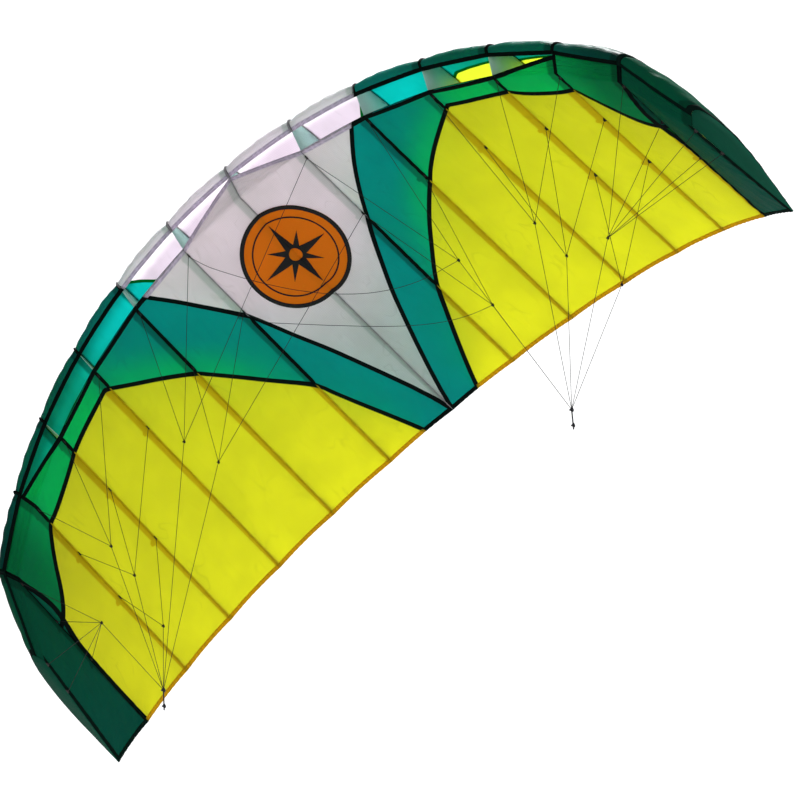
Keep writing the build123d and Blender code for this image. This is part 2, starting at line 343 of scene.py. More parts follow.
@dataclass(frozen=True)
class Fullness:
    """How the blown-up cloth stands off the straight line from rib to rib."""

    depth: float = 0.085  # of the cell's width, at the middle
    roundness: float = 0.78
    lip: float = 0.30  # share of that depth kept at an intake's hem
    tail: float = 0.10  # and at the trailing edge
    front_reach: float = 0.16  # share of the length over which the front fills out
    rear_reach: float = 0.55
    pucker: float = 0.0011
    pucker_length: float = 0.046
    pucker_reach: float = 0.030
    drift: float = 0.0016
    drift_size: float = 0.11
    drift_stretch: float = 1.6
    tail_pucker: float = 0.0012
    tail_pucker_length: float = 0.021
    tail_start: float = 0.93
    gather: float = 0.0042  # folds beside the ribs' tails
    gather_start: float = 0.84
    gather_reach: float = 0.035
    nose_wrinkle: float = 0.0030
    tip_wrinkle: float = 0.0051
    wrinkle_end: float = 0.24
    scallop: float = 0.0050  # how far a trailing edge is drawn in between two ribs


@dataclass(frozen=True)
class Cell:
    """One cell of the wing, between its inner and its outer rib."""

    number: int
    side: Side
    fullness: Fullness = Fullness()

    @property
    def ribs(self) -> tuple[Rib, Rib]:
        """The inner and the outer rib."""
        return RIBS[self.side][self.number - 1], RIBS[self.side][self.number]

    @property
    def width(self) -> float:
        """Width of the cell along the cloth."""
        return (PLAN.cell_widths + (PLAN.tip_tail_width,))[self.number - 1]

    @property
    def closed_nose(self) -> bool:
        """Whether the two lips are sewn together."""
        return self.number > 5

    @property
    def tip(self) -> bool:
        """Whether this is the outermost cell."""
        return self.number == PLAN.last_rib

    @property
    def body(self) -> str:
        """The body that the cell belongs to."""
        part = "tip" if self.tip else "wing"
        return "centre_section" if self.number <= 2 else f"{self.side.word}_{part}"

    def attach(self, piece: bpy.types.Object) -> None:
        """Makes a piece of this cell move with the cell's body; a piece of the third cell or the tip only has
        its placement baked into its mesh.

        Args:
            piece: the cloth or hem, made at its place.
        """
        if self.number != 3 and not self.tip:
            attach(piece, self.body)
            return
        before = f"{self.side.word}_wing" if self.tip else "centre_section"
        start, outer = (rib.at(-rib.chord / 2, 0)[0] for rib in self.ribs)
        self.body
        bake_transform(piece)
        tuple(start)

    def swell(self, across: np.ndarray, along: np.ndarray, place: np.ndarray) -> np.ndarray:
        """How far the cloth stands off the straight cell.

        Args:
            across: 0 at the inner rib, 1 at the outer rib.
            along: distance behind the skin's front edge, as a share of its length.
            place: metres along the cloth from its front edge.
        Returns:
            Metres, one for each place.
        """
        full = self.fullness
        arch = np.clip(4 * across * (1 - across), 0, 1) ** full.roundness
        front = full.lip + (1 - full.lip) * np.clip(along / full.front_reach, 0, 1) ** 0.7
        rear = full.tail + (1 - full.tail) * np.clip((1 - along) / full.rear_reach, 0, 1) ** 0.8
        stand = self.width * full.depth * arch * np.minimum(front, rear)
        seam = np.minimum(across, 1 - across) * self.width
        nearer = np.where(across < 0.5, self.number - 1, self.number) * self.side.value
        drift = noise_field(across * self.width / full.drift_size + nearer,
                            place / full.drift_size / full.drift_stretch, self.number * 5.3)
        puckers = self.puckers(place, seam, nearer) + self.gathers(along, place, seam, nearer)
        tail = self.tail_folds(across, along, seam)
        return stand + puckers + (full.drift * drift + tail) * arch**0.5

    def puckers(self, place: np.ndarray, seam: np.ndarray, nearer: np.ndarray) -> np.ndarray:
        """Small waves along the rib seams.

        Args:
            place: metres along the cloth from its front edge.
            seam: metres from the nearer seam.
            nearer: the nearer rib's number, with its side's sign.
        Returns:
            Metres, one for each place.
        """
        full = self.fullness
        wander = noise_field(place * 9, nearer * 3.7, 0.4)
        wave = np.sin(2 * math.pi * place / full.pucker_length + wander * 9 + nearer * 2.1)
        return full.pucker * wave * np.exp(-seam / full.pucker_reach) * np.clip(seam / 0.004, 0, 1)

    def tail_folds(self, across: np.ndarray, along: np.ndarray, seam: np.ndarray) -> np.ndarray:
        """Fine folds that the trailing edge's hem draws in the cloth.

        Args:
            across: 0 at the inner rib, 1 at the outer rib.
            along: distance behind the skin's front edge, as a share of its length.
            seam: metres from the nearer seam.
        Returns:
            Metres, one for each place.
        """
        full = self.fullness
        wave = np.sin(2 * math.pi * across * self.width / full.tail_pucker_length + self.number)
        near = np.clip((along - full.tail_start) / (1 - full.tail_start), 0, 1) * np.clip(seam / 0.01, 0, 1)
        return full.tail_pucker * wave * near

    def gathers(self, along: np.ndarray, place: np.ndarray, seam: np.ndarray,
                nearer: np.ndarray) -> np.ndarray:
        """Crumpled cloth beside the ribs' tails.

        Args:
            along: distance behind the skin's front edge, as a share of its length.
            place: metres along the cloth from its front edge.
            seam: metres from the nearer seam.
            nearer: the nearer rib's number, with its side's sign.
        Returns:
            Metres, one for each place.
        """
        full = self.fullness
        near_tail = np.clip((along - full.gather_start) / 0.10, 0, 1) * np.clip((1 - along) / 0.02, 0, 1)
        folds = noise_field(place * 34, seam * 55, nearer * 2.3)
        near_seam = np.exp(-seam / full.gather_reach) * np.clip(seam / 0.006, 0, 1)
        return full.gather * folds * near_tail * near_seam

    def wrinkles(self, across: np.ndarray, place: np.ndarray) -> np.ndarray:
        """Crumples of the upper skin's nose.

        Args:
            across: 0 at the inner rib, 1 at the outer rib.
            place: metres along the cloth from its front edge.
        Returns:
            Metres, one for each place.
        """
        full = self.fullness
        crumple = full.tip_wrinkle if self.closed_nose else full.nose_wrinkle
        width = across * self.width
        folds = noise_field(width * 38, place * 20, self.number * 4.1 + self.side.value)
        held = np.clip(np.minimum(width, self.width - width) / 0.01, 0, 1) * np.clip(place / 0.02, 0.25, 1)
        return crumple * folds * held * np.clip((full.wrinkle_end - place) / 0.12, 0, 1)

    def drawn_in(self, across: np.ndarray, place: np.ndarray) -> np.ndarray:
        """How far the cloth near the trailing edge is drawn forwards, in metres."""
        near = np.clip((place - 0.86) / 0.14, 0, 1) ** 1.5
        return self.fullness.scallop * np.sin(across * math.pi) ** 0.8 * near

    def lower(self, across: np.ndarray, place: np.ndarray, proud: np.ndarray | float = 0.0) -> np.ndarray:
        """Points on the lower skin.

        Args:
            across: 0 at the inner rib, 1 at the outer rib.
            place: -1 at the flap's end, 0 at the lower lip, 1 at the trailing edge.
            proud: metres outside the cloth.
        Returns:
            Rows of X, Y, Z.
        """
        a, b = self.ribs
        mix = across[:, None]
        base = a.under(place) * (1 - mix) + b.under(place) * mix
        down = -unit(a.up * (1 - mix) + b.up * mix)
        ahead = unit(a.ahead * (1 - mix) + b.ahead * mix)
        lip = np.array(PLAN.upper_lip) / np.hypot(*PLAN.upper_lip)
        slant = unit(ahead * lip[1] + down * lip[0])
        turn = np.clip((0.15 - place) / 0.6, 0, 1)[:, None]
        way = unit(down * (1 - turn) + slant * turn)
        chord = a.chord * (1 - across) + b.chord * across
        swell = self.swell(across, np.clip(place, 0, 1), np.clip(place, -0.05, 1) * chord)
        swell = swell * np.where(place < 0, 0.7 + 0.3 * (1 + place), 1)
        return base + way * (swell + proud)[:, None] + ahead * self.drawn_in(across, place)[:, None]

    def upper(self, across: np.ndarray, place: np.ndarray, proud: np.ndarray | float = 0.0) -> np.ndarray:
        """Points on the upper skin.

        Args:
            across: 0 at the inner rib, 1 at the outer rib.
            place: 0 at the upper lip, 1 at the trailing edge.
            proud: metres outside the cloth.
        Returns:
            Rows of X, Y, Z.
        """
        a, b = self.ribs
        mix = across[:, None]
        base = a.over(place) * (1 - mix) + b.over(place) * mix
        way = unit(a.over_normal(place) * (1 - mix) + b.over_normal(place) * mix)
        chord = (a.chord * (1 - across) + b.chord * across) * 1.13
        swell = self.swell(across, place, place * chord) + self.wrinkles(across, place * chord)
        ahead = unit(a.ahead * (1 - mix) + b.ahead * mix)
        return base + way * (swell + proud)[:, None] + ahead * self.drawn_in(across, place)[:, None]

    def skin(self, layer: Layer) -> Callable:
        """The function that gives points on one of the cell's skins."""
        return self.lower if layer is Layer.LOWER else self.upper

    def chord_at(self, across: np.ndarray) -> np.ndarray:
        """The chord at shares of the cell's width."""
        return self.ribs[0].chord * (1 - across) + self.ribs[1].chord * across

    def plan_place(self, across: np.ndarray, points: np.ndarray) -> tuple[np.ndarray, np.ndarray]:
        """Flat span and distance behind the centre lip of places on this cell."""
        a, b = self.ribs
        return a.span + (b.span - a.span) * across, PLAN.root_lip - points[:, 2]


# ---------------------------------------------------------------- meshes


def new_object(name: str, mesh: bpy.types.Mesh) -> bpy.types.Object:
    """A linked object for a mesh, shaded smooth.

    Args:
        name: of the object.
        mesh: that it shows.
    Returns:
        The object.
    """
    piece = bpy.data.objects.new(name, mesh)
    bpy.context.scene.collection.objects.link(piece)
    mesh.shade_smooth()
    return piece


def mapped_grid(columns: int, rows: int, shape: Bending) -> bmesh.types.BMesh:
    """A grid bent to a shape, with its plan coordinates.

    Args:
        columns: faces across.
        rows: faces along.
        shape: takes across and along from 0 to 1, and returns points, attributes and metric UVs.
    Returns:
        The bent mesh, with float layers and a UV layer named "cloth".
    """
    mesh = bmesh.new()
    bmesh.ops.create_grid(mesh, x_segments=columns, y_segments=rows, size=0.5)
    flat = np.array([vertex.co for vertex in mesh.verts]) + 0.5
    points, attributes, metric = shape(flat[:, 0], flat[:, 1])
    for vertex, point in zip(mesh.verts, points):
        vertex.co = point
    for name, values in attributes.items():
        layer = mesh.verts.layers.float.new(name)
        for vertex, value in zip(mesh.verts, values):
            vertex[layer] = value
    cloth = mesh.loops.layers.uv.new("cloth")
    for face in mesh.faces:
        for loop in face.loops:
            loop[cloth].uv = metric[loop.vert.index]
    return mesh


def finished(name: str, meshes: Iterable[bmesh.types.BMesh], outward: Vector | None = None,
             thickness: float = 0.0, offset: float = 0.0) -> bpy.types.Object:
    """Joins meshes into one object, faces outwards, with a closed thickness.

    Args:
        name: the piece's name.
        meshes: the bent grids, which are freed.
        outward: the outward direction of open cloth.
        thickness: of the cloth, 0 for a mesh that is closed already.
        offset: which side the thickness is added on, -1 inwards.
    Returns:
        The new object.
    """
    joined = bpy.data.meshes.new(name)
    whole = bmesh.new()
    for part in meshes:
        if outward is not None:
            part.normal_update()
            total = sum((face.normal for face in part.faces), Vector())
            if total.dot(outward) < 0:
                bmesh.ops.reverse_faces(part, faces=part.faces)
        kept = bpy.data.meshes.new(f"{name}_part")
        part.to_mesh(kept)
        part.free()
        whole.from_mesh(kept)
        bpy.data.meshes.remove(kept)
    whole.to_mesh(joined)
    whole.free()
    piece = new_object(name, joined)
    if thickness:
        shell = piece.modifiers.new("cloth_thickness", "SOLIDIFY")
        shell.thickness = thickness
        shell.offset = offset
        shell.use_even_offset = False
    return piece


def dress(piece: bpy.types.Object, material: bpy.types.Material, slot: str) -> bpy.types.Object:
    """Gives a piece its material, and logs the record's slot.

    Args:
        piece: the finished object.
        material: its only material.
        slot: the record's slot.
    Returns:
        The same piece.
    """
    piece.data.materials.clear()
    piece.data.materials.append(material)
    LOG.info("%s in %s", piece.name, slot)
    return piece


# ---------------------------------------------------------------- finishes


class Nodes:
    """A short way to write a node tree."""

    def __init__(self, tree: bpy.types.NodeTree) -> None:
        """Starts with an empty tree."""
        self.tree = tree
        tree.nodes.clear()

    def add(self, kind: str, **values: object) -> bpy.types.Node:
        """Adds a node and sets its properties.

        Args:
            kind: Blender's node type.
            values: properties, or inputs by name with spaces written as underscores.
        Returns:
            The node.
        """
        node = self.tree.nodes.new(kind)
        for key, value in values.items():
            if hasattr(node, key):
                setattr(node, key, value)
            else:
                self.put(node.inputs[key.replace("_", " ")], value)
        return node

    def put(self, socket: bpy.types.NodeSocket, value: object) -> None:
        """Links an output to a socket, or sets the socket's own value.

        Args:
            socket: the input.
            value: an output, a colour or a number.
        """
        if isinstance(value, bpy.types.NodeSocket):
            self.tree.links.new(value, socket)
        elif isinstance(value, tuple) and len(value) == 3 and socket.type == "RGBA":
            socket.default_value = (*value, 1.0)
        else:
            socket.default_value = value

    def maths(self, operation: str, *inputs: object) -> bpy.types.NodeSocket:
        """A Math node's result.

        Args:
            operation: Blender's name for it.
            inputs: outputs or numbers.
        Returns:
            The result.
        """
        node = self.tree.nodes.new("ShaderNodeMath")
        node.operation = operation
        for socket, value in zip(node.inputs, inputs):
            self.put(socket, value)
        return node.outputs[0]

    def blend(self, share: object, first: object, second: object, way: str = "MIX") -> bpy.types.NodeSocket:
        """A colour between two colours.

        Args:
            share: of the second colour.
            first: a colour.
            second: a colour.
            way: the blend type.
        Returns:
            The blended colour.
        """
        node = self.tree.nodes.new("ShaderNodeMix")
        node.data_type = "RGBA"
        node.blend_type = way
        self.put(node.inputs[0], share)
        self.put(node.inputs[6], first)
        self.put(node.inputs[7], second)
        return node.outputs[2]

    def scalar(self, name: str) -> bpy.types.NodeSocket:
        """A float attribute of the mesh."""
        return self.add("ShaderNodeAttribute", attribute_name=name).outputs["Fac"]

    def step(self, value: object, low: float, high: float) -> bpy.types.NodeSocket:
        """0 below low and 1 above high, smooth between.

        Args:
            value: the number to step.
            low: where the step starts.
            high: where it ends; below low it falls.
        Returns:
            The step.
        """
        node = self.add("ShaderNodeMapRange", interpolation_type="SMOOTHSTEP", From_Min=low, From_Max=high)
        self.put(node.inputs["Value"], value)
        return node.outputs["Result"]

    def end(self, colour: bpy.types.NodeSocket, bump: bpy.types.Node, roughness: float, specular: float,
            glow: float, bumpy_glow: bool = False) -> None:
        """Ends a material with a woven surface that lets part of the light through.

        Args:
            colour: the cloth's colour, of both its surface and the light through it.
            bump: the Bump node that bends its normals.
            roughness: of the surface.
            specular: the surface's specular level.
            glow: the share of light that passes through, 0 for dense stuff.
            bumpy_glow: whether the bumps also shade the light that passes through.
        """
        front = self.add("ShaderNodeBsdfPrincipled", Base_Color=colour, Normal=bump.outputs[0])
        front.inputs["Roughness"].default_value = roughness
        front.inputs["Specular IOR Level"].default_value = specular
        shown = front.outputs[0]
        if glow:
            through = self.add("ShaderNodeBsdfTranslucent", Color=colour)
            if bumpy_glow:
                self.put(through.inputs["Normal"], bump.outputs[0])
            mix = self.add("ShaderNodeMixShader")
            mix.inputs[0].default_value = glow
            self.put(mix.inputs[1], shown)
            self.put(mix.inputs[2], through.outputs[0])
            shown = mix.outputs[0]
        self.put(self.add("ShaderNodeOutputMaterial").inputs[0], shown)


def effect(name: str, inputs: dict[str, tuple[str, object]], outputs: dict[str, str],
           build: Callable[[Nodes, bpy.types.Node, bpy.types.Node], None]) -> bpy.types.NodeTree:
    """A shader node group, built once.

    Args:
        name: the effect's name.
        inputs: each input's socket type and its default.
        outputs: each output's socket type.
        build: fills the group between its input and output nodes.
    Returns:
        The group's tree.
    """
    if name in bpy.data.node_groups:
        return bpy.data.node_groups[name]
    tree = bpy.data.node_groups.new(name, "ShaderNodeTree")
    for label, (kind, default) in inputs.items():
        socket = tree.interface.new_socket(label, in_out="INPUT", socket_type=kind)
        if default is not None:
            socket.default_value = default
    for label, kind in outputs.items():
        tree.interface.new_socket(label, in_out="OUTPUT", socket_type=kind)
    nodes = Nodes(tree)
    build(nodes, tree.nodes.new("NodeGroupInput"), tree.nodes.new("NodeGroupOutput"))
    return tree


def ripstop_effect() -> bpy.types.NodeTree:
    """Squares of thicker thread in a fine plain weave: a mask and a height.

    Returns:
        The group, with a mask and a height.
    """
    def build(n: Nodes, start: bpy.types.Node, end: bpy.types.Node) -> None:
        """Fills the group.

        Args:
            n: the group's nodes.
            start: its inputs.
            end: its outputs.
        """
        split = n.add("ShaderNodeSeparateXYZ", Vector=start.outputs["Place"])
        lines = []
        for axis in (0, 1):
            cells = n.maths("DIVIDE", split.outputs[axis], start.outputs["Pitch"])
            middle = n.maths("ABSOLUTE", n.maths("SUBTRACT", n.maths("FRACT", cells), 0.5))
            lines.append(n.step(middle, 0.43, 0.47))
        grid = n.maths("MAXIMUM", *lines)
        weave = n.add("ShaderNodeTexNoise", Scale=2400.0, Detail=1.0, Vector=start.outputs["Place"])
        height = n.maths("MULTIPLY_ADD", weave.outputs["Fac"], 0.25, n.maths("MULTIPLY", grid, 0.7))
        n.put(end.inputs["Grid"], grid)
        n.put(end.inputs["Height"], height)

    inputs = {"Place": ("NodeSocketVector", None), "Pitch": ("NodeSocketFloat", 0.006)}
    return effect("ripstop_squares", inputs, dict.fromkeys(("Grid", "Height"), "NodeSocketFloat"), build)


def crease_effect() -> bpy.types.NodeTree:
    """Folds and handling creases of thin cloth: a height, a mottling mask and a mask of the fold lines, where
    the cloth material paints shade.

    Returns:
        The group, with a height and two masks.
    """
    def build(n: Nodes, start: bpy.types.Node, end: bpy.types.Node) -> None:
        """Fills the group.

        Args:
            n: the group's nodes.
            start: its inputs.
            end: its outputs.
        """
        stretch = n.add("ShaderNodeMapping", Vector=start.outputs["Place"])
        stretch.inputs["Scale"].default_value = (1.0, 0.45, 1.0)
        stretch.inputs["Rotation"].default_value = (0.0, 0.0, 0.5)
        folds = n.add("ShaderNodeTexNoise", Scale=15.0, Detail=1.5, Distortion=0.5, Vector=stretch.outputs[0])
        ridge = n.maths("ABSOLUTE", n.maths("SUBTRACT", folds.outputs["Fac"], 0.5))
        soft = n.add("ShaderNodeTexNoise", Scale=9.0, Detail=2.0, Vector=start.outputs["Place"])
        height = n.maths("MULTIPLY_ADD", ridge, -1.6, soft.outputs["Fac"])
        sparse = n.step(soft.outputs["Fac"], 0.50, 0.62)
        n.put(end.inputs["Height"], height)
        n.put(end.inputs["Mottle"], soft.outputs["Fac"])
        # Fold marks the fold lines, where the cloth material paints shade.
        n.put(end.inputs["Fold"], n.maths("MULTIPLY", n.step(ridge, 0.022, 0.0), sparse))

    outputs = dict.fromkeys(("Height", "Mottle", "Fold"), "NodeSocketFloat")
    return effect("cloth_creases", {"Place": ("NodeSocketVector", None)}, outputs, build)


def weave_effect() -> bpy.types.NodeTree:
    """A ribbed tape or braid: a height and a mask, from two crossing waves.

    Returns:
        The group, with a height and a mask.
    """
    def build(n: Nodes, start: bpy.types.Node, end: bpy.types.Node) -> None:
        """Fills the group.

        Args:
            n: the group's nodes.
            start: its inputs.
            end: its outputs.
        """
        waves = []
        for direction in ("X", "Y"):
            wave = n.add("ShaderNodeTexWave", bands_direction=direction, Distortion=0.4)
            n.put(wave.inputs["Vector"], start.outputs["Place"])
            n.put(wave.inputs["Scale"], start.outputs["Threads"])
            waves.append(wave.outputs["Fac"])
        height = n.maths("MAXIMUM", *waves)
        n.put(end.inputs["Height"], height)
        n.put(end.inputs["Threads"], n.step(height, 0.35, 0.75))

    inputs = {"Place": ("NodeSocketVector", None), "Threads": ("NodeSocketFloat", 400.0)}
    return effect("woven_threads", inputs, dict.fromkeys(("Height", "Threads"), "NodeSocketFloat"), build)


def grouped(nodes: Nodes, tree: bpy.types.NodeTree, **values: object) -> bpy.types.Node:
    """Places an effect in a material with its own values.

    Args:
        nodes: the material's nodes.
        tree: the group's tree.
        values: what its inputs get.
    Returns:
        The group's node.
    """
    node = nodes.tree.nodes.new("ShaderNodeGroup")
    node.node_tree = tree
    for key, value in values.items():
        nodes.put(node.inputs[key], value)
    return node


def cloth_place(nodes: Nodes) -> bpy.types.NodeSocket:
    """The metric UVs of a cloth piece."""
    return nodes.add("ShaderNodeUVMap", uv_map="cloth").outputs[0]


def fresh_material(name: str) -> tuple[bpy.types.Material, Nodes]:
    """An empty node material.

    Args:
        name: of the material.
    Returns:
        The material and its empty tree.
    """
    material = bpy.data.materials.new(name)
    material.use_nodes = True
    return material, Nodes(material.node_tree)


@dataclass(frozen=True)
class PanelColours:
    """Cloth colours of one skin, linear."""

    white: Colour
    teal: Colour
    green: Colour
    yellow: Colour
    dark_green: Colour
    tape: Colour
    tape_half: float


SKIN_COLOURS = {
    Layer.LOWER: PanelColours(
        white=(0.98, 0.92, 0.93), teal=(0.0002, 0.55, 0.51), green=(0.006, 0.78, 0.32),
        yellow=(0.96, 0.90, 0.057), dark_green=(0.001, 0.235, 0.155), tape=(0.0004, 0.010, 0.008),
        tape_half=0.0072),
    Layer.UPPER: PanelColours(
        # The upper white is a darker copy of the lower white: painted shade of the wing's inside.
        white=(0.72, 0.66, 0.72), teal=(0.025, 0.58, 0.56), green=(0.016, 0.43, 0.35),
        yellow=(0.75, 0.84, 0.155), dark_green=(0.001, 0.30, 0.20), tape=(0.003, 0.20, 0.05),
        tape_half=0.0050),
}


@dataclass(frozen=True)
class Ripstop:
    """Thin coated ripstop in coloured panels, sewn with dark tape."""

    name: str
    colours: PanelColours
    closed_tip: bool = False
    lower: bool = True
    glow: float = 0.74
    roughness: float = 0.36
    specular: float = 0.12
    tip_front: Colour = (0.003, 0.23, 0.12)
    far_white: Colour = (0.80, 0.88, 0.85)  # multiplies the white towards the trailing edge
    outer_green: float = 0.50  # multiplies the green beside the tips
    nose_green: Colour = (0.5, 0.76, 0.74)  # multipliers of the strip round the nose: painted shade on its green; its white lifted back to full white
    nose_white: Colour = (1.37, 1.45, 1.36)
    double_yellow: Colour = (0.84, 0.71, 0.22)  # multipliers of the painted shade beside the ribs and tabs, and of the seam line
    double_green: Colour = (0.62, 0.60, 0.58)
    double_white: Colour = (0.80, 0.85, 0.82)
    # darkens the random mottling, and paints shade along the creases' fold lines
    crease_tint: Colour = (0.55, 0.55, 0.50)

    def within(self, n: Nodes, panel: str, soft: float = 0.0004) -> bpy.types.NodeSocket:
        """1 inside a panel and 0 outside it."""
        return n.step(n.scalar(panel), -soft, soft)

    def green_band(self, n: Nodes) -> bpy.types.NodeSocket:
        """Teal that turns green outwards and towards the yellow, and dark beside the tips.

        Args:
            n: the material's nodes.
        Returns:
            The colour.
        """
        c, span = self.colours, n.scalar("span")
        inward = n.maths("MULTIPLY", n.step(n.scalar("band_edge"), 0.13, 0.01), n.step(span, 0.26, 0.46))
        share = n.maths("MAXIMUM", n.maths("MULTIPLY", inward, 0.6), n.step(span, 0.60, 0.88))
        green = n.blend(share, c.teal, c.green)
        return n.blend(n.step(span, 1.12, 1.36), green, tuple(self.outer_green * v for v in c.green))

    def panels(self, n: Nodes) -> bpy.types.NodeSocket:
        """The panel colour at each place.

        Args:
            n: the material's nodes.
        Returns:
            The colour.
        """
        c = self.colours
        if self.closed_tip:
            return n.blend(n.step(n.scalar("back"), 0.45, 1.0), self.tip_front, c.dark_green)
        cloth = n.blend(self.within(n, "band_edge"), c.yellow, self.green_band(n))
        far_white = tuple(v * w for v, w in zip(c.white, self.far_white))
        white = n.blend(n.step(n.scalar("back"), 0.22, 0.75), c.white, far_white)
        cloth = n.blend(self.within(n, "white_edge"), cloth, white)
        if not self.lower:
            # Painted shade on the green of the strip round the nose, which faces out; its white is lifted
            # back to full white there.
            facing = n.blend(self.within(n, "white_edge"), self.nose_green, self.nose_white)
            strip = n.blend(1.0, cloth, facing, "MULTIPLY")
            cloth = n.blend(n.step(n.scalar("nose"), 0.13, 0.09), cloth, strip)
        return n.blend(self.within(n, "tip_edge"), c.dark_green, cloth)

    def sewing(self, n: Nodes, colour: bpy.types.NodeSocket) -> bpy.types.NodeSocket:
        """Paints shade beside the ribs and at the tabs, where they shade the backlit cloth, and darkens the
        seam line.

        Args:
            n: the material's nodes.
            colour: of the cloth before the painted shade.
        Returns:
            The colour.
        """
        # Painted shade: a band on one side of each rib, narrowing towards the tail, and on the underside
        # spots beside the tabs.
        painted_shade_mask = n.step(n.scalar("allowance"), 1.0, 0.72)
        line = n.step(n.scalar("seam"), 0.0040, 0.0012)
        if self.lower:
            # Painted shadow beside each tab.
            anchor = n.maths("MULTIPLY", n.step(n.scalar("anchor"), 1.10, 0.85), 1.35)
            painted_shade_mask = n.maths("MAXIMUM", painted_shade_mask, anchor)
        tint = self.double_green
        if not self.closed_tip:
            tint = n.blend(self.within(n, "band_edge", 0.001), self.double_yellow, tint)
            tint = n.blend(self.within(n, "white_edge", 0.001), tint, self.double_white)
        colour = n.blend(painted_shade_mask, colour, n.blend(1.0, colour, tint, "MULTIPLY"))
        sewn = n.blend(1.0, colour, tint, "MULTIPLY")
        return n.blend(n.maths("MULTIPLY", line, 0.7), colour, sewn)

    def joint_tape(self, n: Nodes) -> bpy.types.NodeSocket:
        """1 on the dark tape over the joints between panels.

        Args:
            n: the material's nodes.
        Returns:
            The mask.
        """
        names = ("tip_edge",) if self.closed_tip else ("white_edge", "band_edge", "tip_edge")
        gaps = [n.maths("ABSOLUTE", n.scalar(name)) for name in names]
        edge = gaps[0]
        for gap in gaps[1:]:
            edge = n.maths("MINIMUM", edge, gap)
        return n.step(edge, self.colours.tape_half + 0.0005, self.colours.tape_half - 0.0005)

    def material(self) -> bpy.types.Material:
        """The node material.

        Returns:
            The material.
        """
        material, n = fresh_material(self.name)
        place = cloth_place(n)
        ripstop = grouped(n, ripstop_effect(), Place=place)
        crease = grouped(n, crease_effect(), Place=place)
        colour = self.sewing(n, self.panels(n))
        # Random mottling of the cloth's tone, and painted shade along the creases' fold lines.
        mottle_and_fold_shade = n.maths("MULTIPLY", n.step(crease.outputs["Mottle"], 0.62, 0.38), 0.08)
        mottle_and_fold_shade = n.maths("MAXIMUM", mottle_and_fold_shade, n.maths("MULTIPLY", crease.outputs["Fold"], 0.17))
        colour = n.blend(mottle_and_fold_shade, colour, n.blend(1.0, colour, self.crease_tint, "MULTIPLY"))
        colour = n.blend(n.maths("MULTIPLY", ripstop.outputs["Grid"], 0.10), colour, (0.02, 0.03, 0.03))
        colour = n.blend(self.joint_tape(n), colour, self.colours.tape)
        weave = n.maths("MULTIPLY", ripstop.outputs["Height"], 0.06)
        height = n.maths("ADD", crease.outputs["Height"], weave)
        bump = n.add("ShaderNodeBump", Strength=0.8, Distance=0.006, Height=height)
        n.end(colour, bump, self.roughness, self.specular, self.glow, bumpy_glow=True)
        return material


class Binding(Enum):
    """Hems and tapes: colours on the white, green and yellow panels."""

    LIP = ((0.94, 0.88, 0.99), (0.001, 0.014, 0.010), (0.001, 0.014, 0.010))
    SEAM = ((0.62, 0.60, 0.62), (0.001, 0.014, 0.010), (0.95, 0.80, 0.030))
    TAIL = ((0.001, 0.014, 0.010), (0.001, 0.014, 0.010), (1.00, 0.68, 0.010))


@dataclass(frozen=True)
class BindingTape:
    """Folded cloth tape, stitched along both sides."""

    kind: Binding
    threads: float = 520.0
    glow: float = 0.72
    roughness: float = 0.75
    specular: float = 0.15

    def material(self) -> bpy.types.Material:
        """The node material.

        Returns:
            The material.
        """
        material, n = fresh_material(f"{self.kind.name.lower()}_tape")
        weave = grouped(n, weave_effect(), Place=cloth_place(n), Threads=self.threads)
        white, green, yellow = self.kind.value
        colour = n.blend(n.step(n.scalar("band_edge"), -0.002, 0.002), yellow, green)
        colour = n.blend(n.step(n.scalar("white_edge"), -0.002, 0.002), colour, white)
        colour = n.blend(n.scalar("dark"), colour, (0.001, 0.018, 0.012))
        colour = n.blend(n.step(n.scalar("tip_edge"), 0.004, -0.004), colour, (0.001, 0.030, 0.020))
        stitch = n.scalar("stitch")
        colour = n.blend(n.maths("MULTIPLY", stitch, 0.45), colour, (0.02, 0.02, 0.02))
        worn = n.blend(1.0, colour, (0.7, 0.7, 0.7), "MULTIPLY")
        colour = n.blend(n.maths("MULTIPLY", weave.outputs["Threads"], 0.5), colour, worn)
        height = n.maths("SUBTRACT", n.maths("MULTIPLY", weave.outputs["Height"], 0.4), stitch)
        bump = n.add("ShaderNodeBump", Strength=0.5, Distance=0.0006, Height=height)
        n.end(colour, bump, self.roughness, self.specular, self.glow)
        return material


@dataclass(frozen=True)
class Woven:
    """Plain woven or braided stuff in one colour: rib cloth, appliqué, tabs, lines and thread."""

    name: str
    colour: Colour
    threads: float = 900.0
    roughness: float = 0.6
    specular: float = 0.2
    depth: float = 0.0004
    glow: float = 0.0
    on_cloth: bool = False
    fleck: float = 0.35

    def material(self) -> bpy.types.Material:
        """The node material.

        Returns:
            The material.
        """
        material, n = fresh_material(self.name)
        place = cloth_place(n) if self.on_cloth else n.add("ShaderNodeTexCoord").outputs["Object"]
        weave = grouped(n, weave_effect(), Place=place, Threads=self.threads)
        wear = n.add("ShaderNodeTexNoise", Scale=60.0, Detail=3.0, Vector=place)
        light = tuple(min(1.0, c * 1.6 + 0.02) for c in self.colour)
        dark = tuple(c * 0.55 for c in self.colour)
        colour = n.blend(n.maths("MULTIPLY", weave.outputs["Threads"], self.fleck), self.colour, dark)
        colour = n.blend(n.maths("MULTIPLY", n.step(wear.outputs["Fac"], 0.60, 0.85), 0.25), colour, light)
        bump = n.add("ShaderNodeBump", Strength=0.6, Distance=self.depth, Height=weave.outputs["Height"])
        n.end(colour, bump, self.roughness, self.specular, self.glow)
        return material


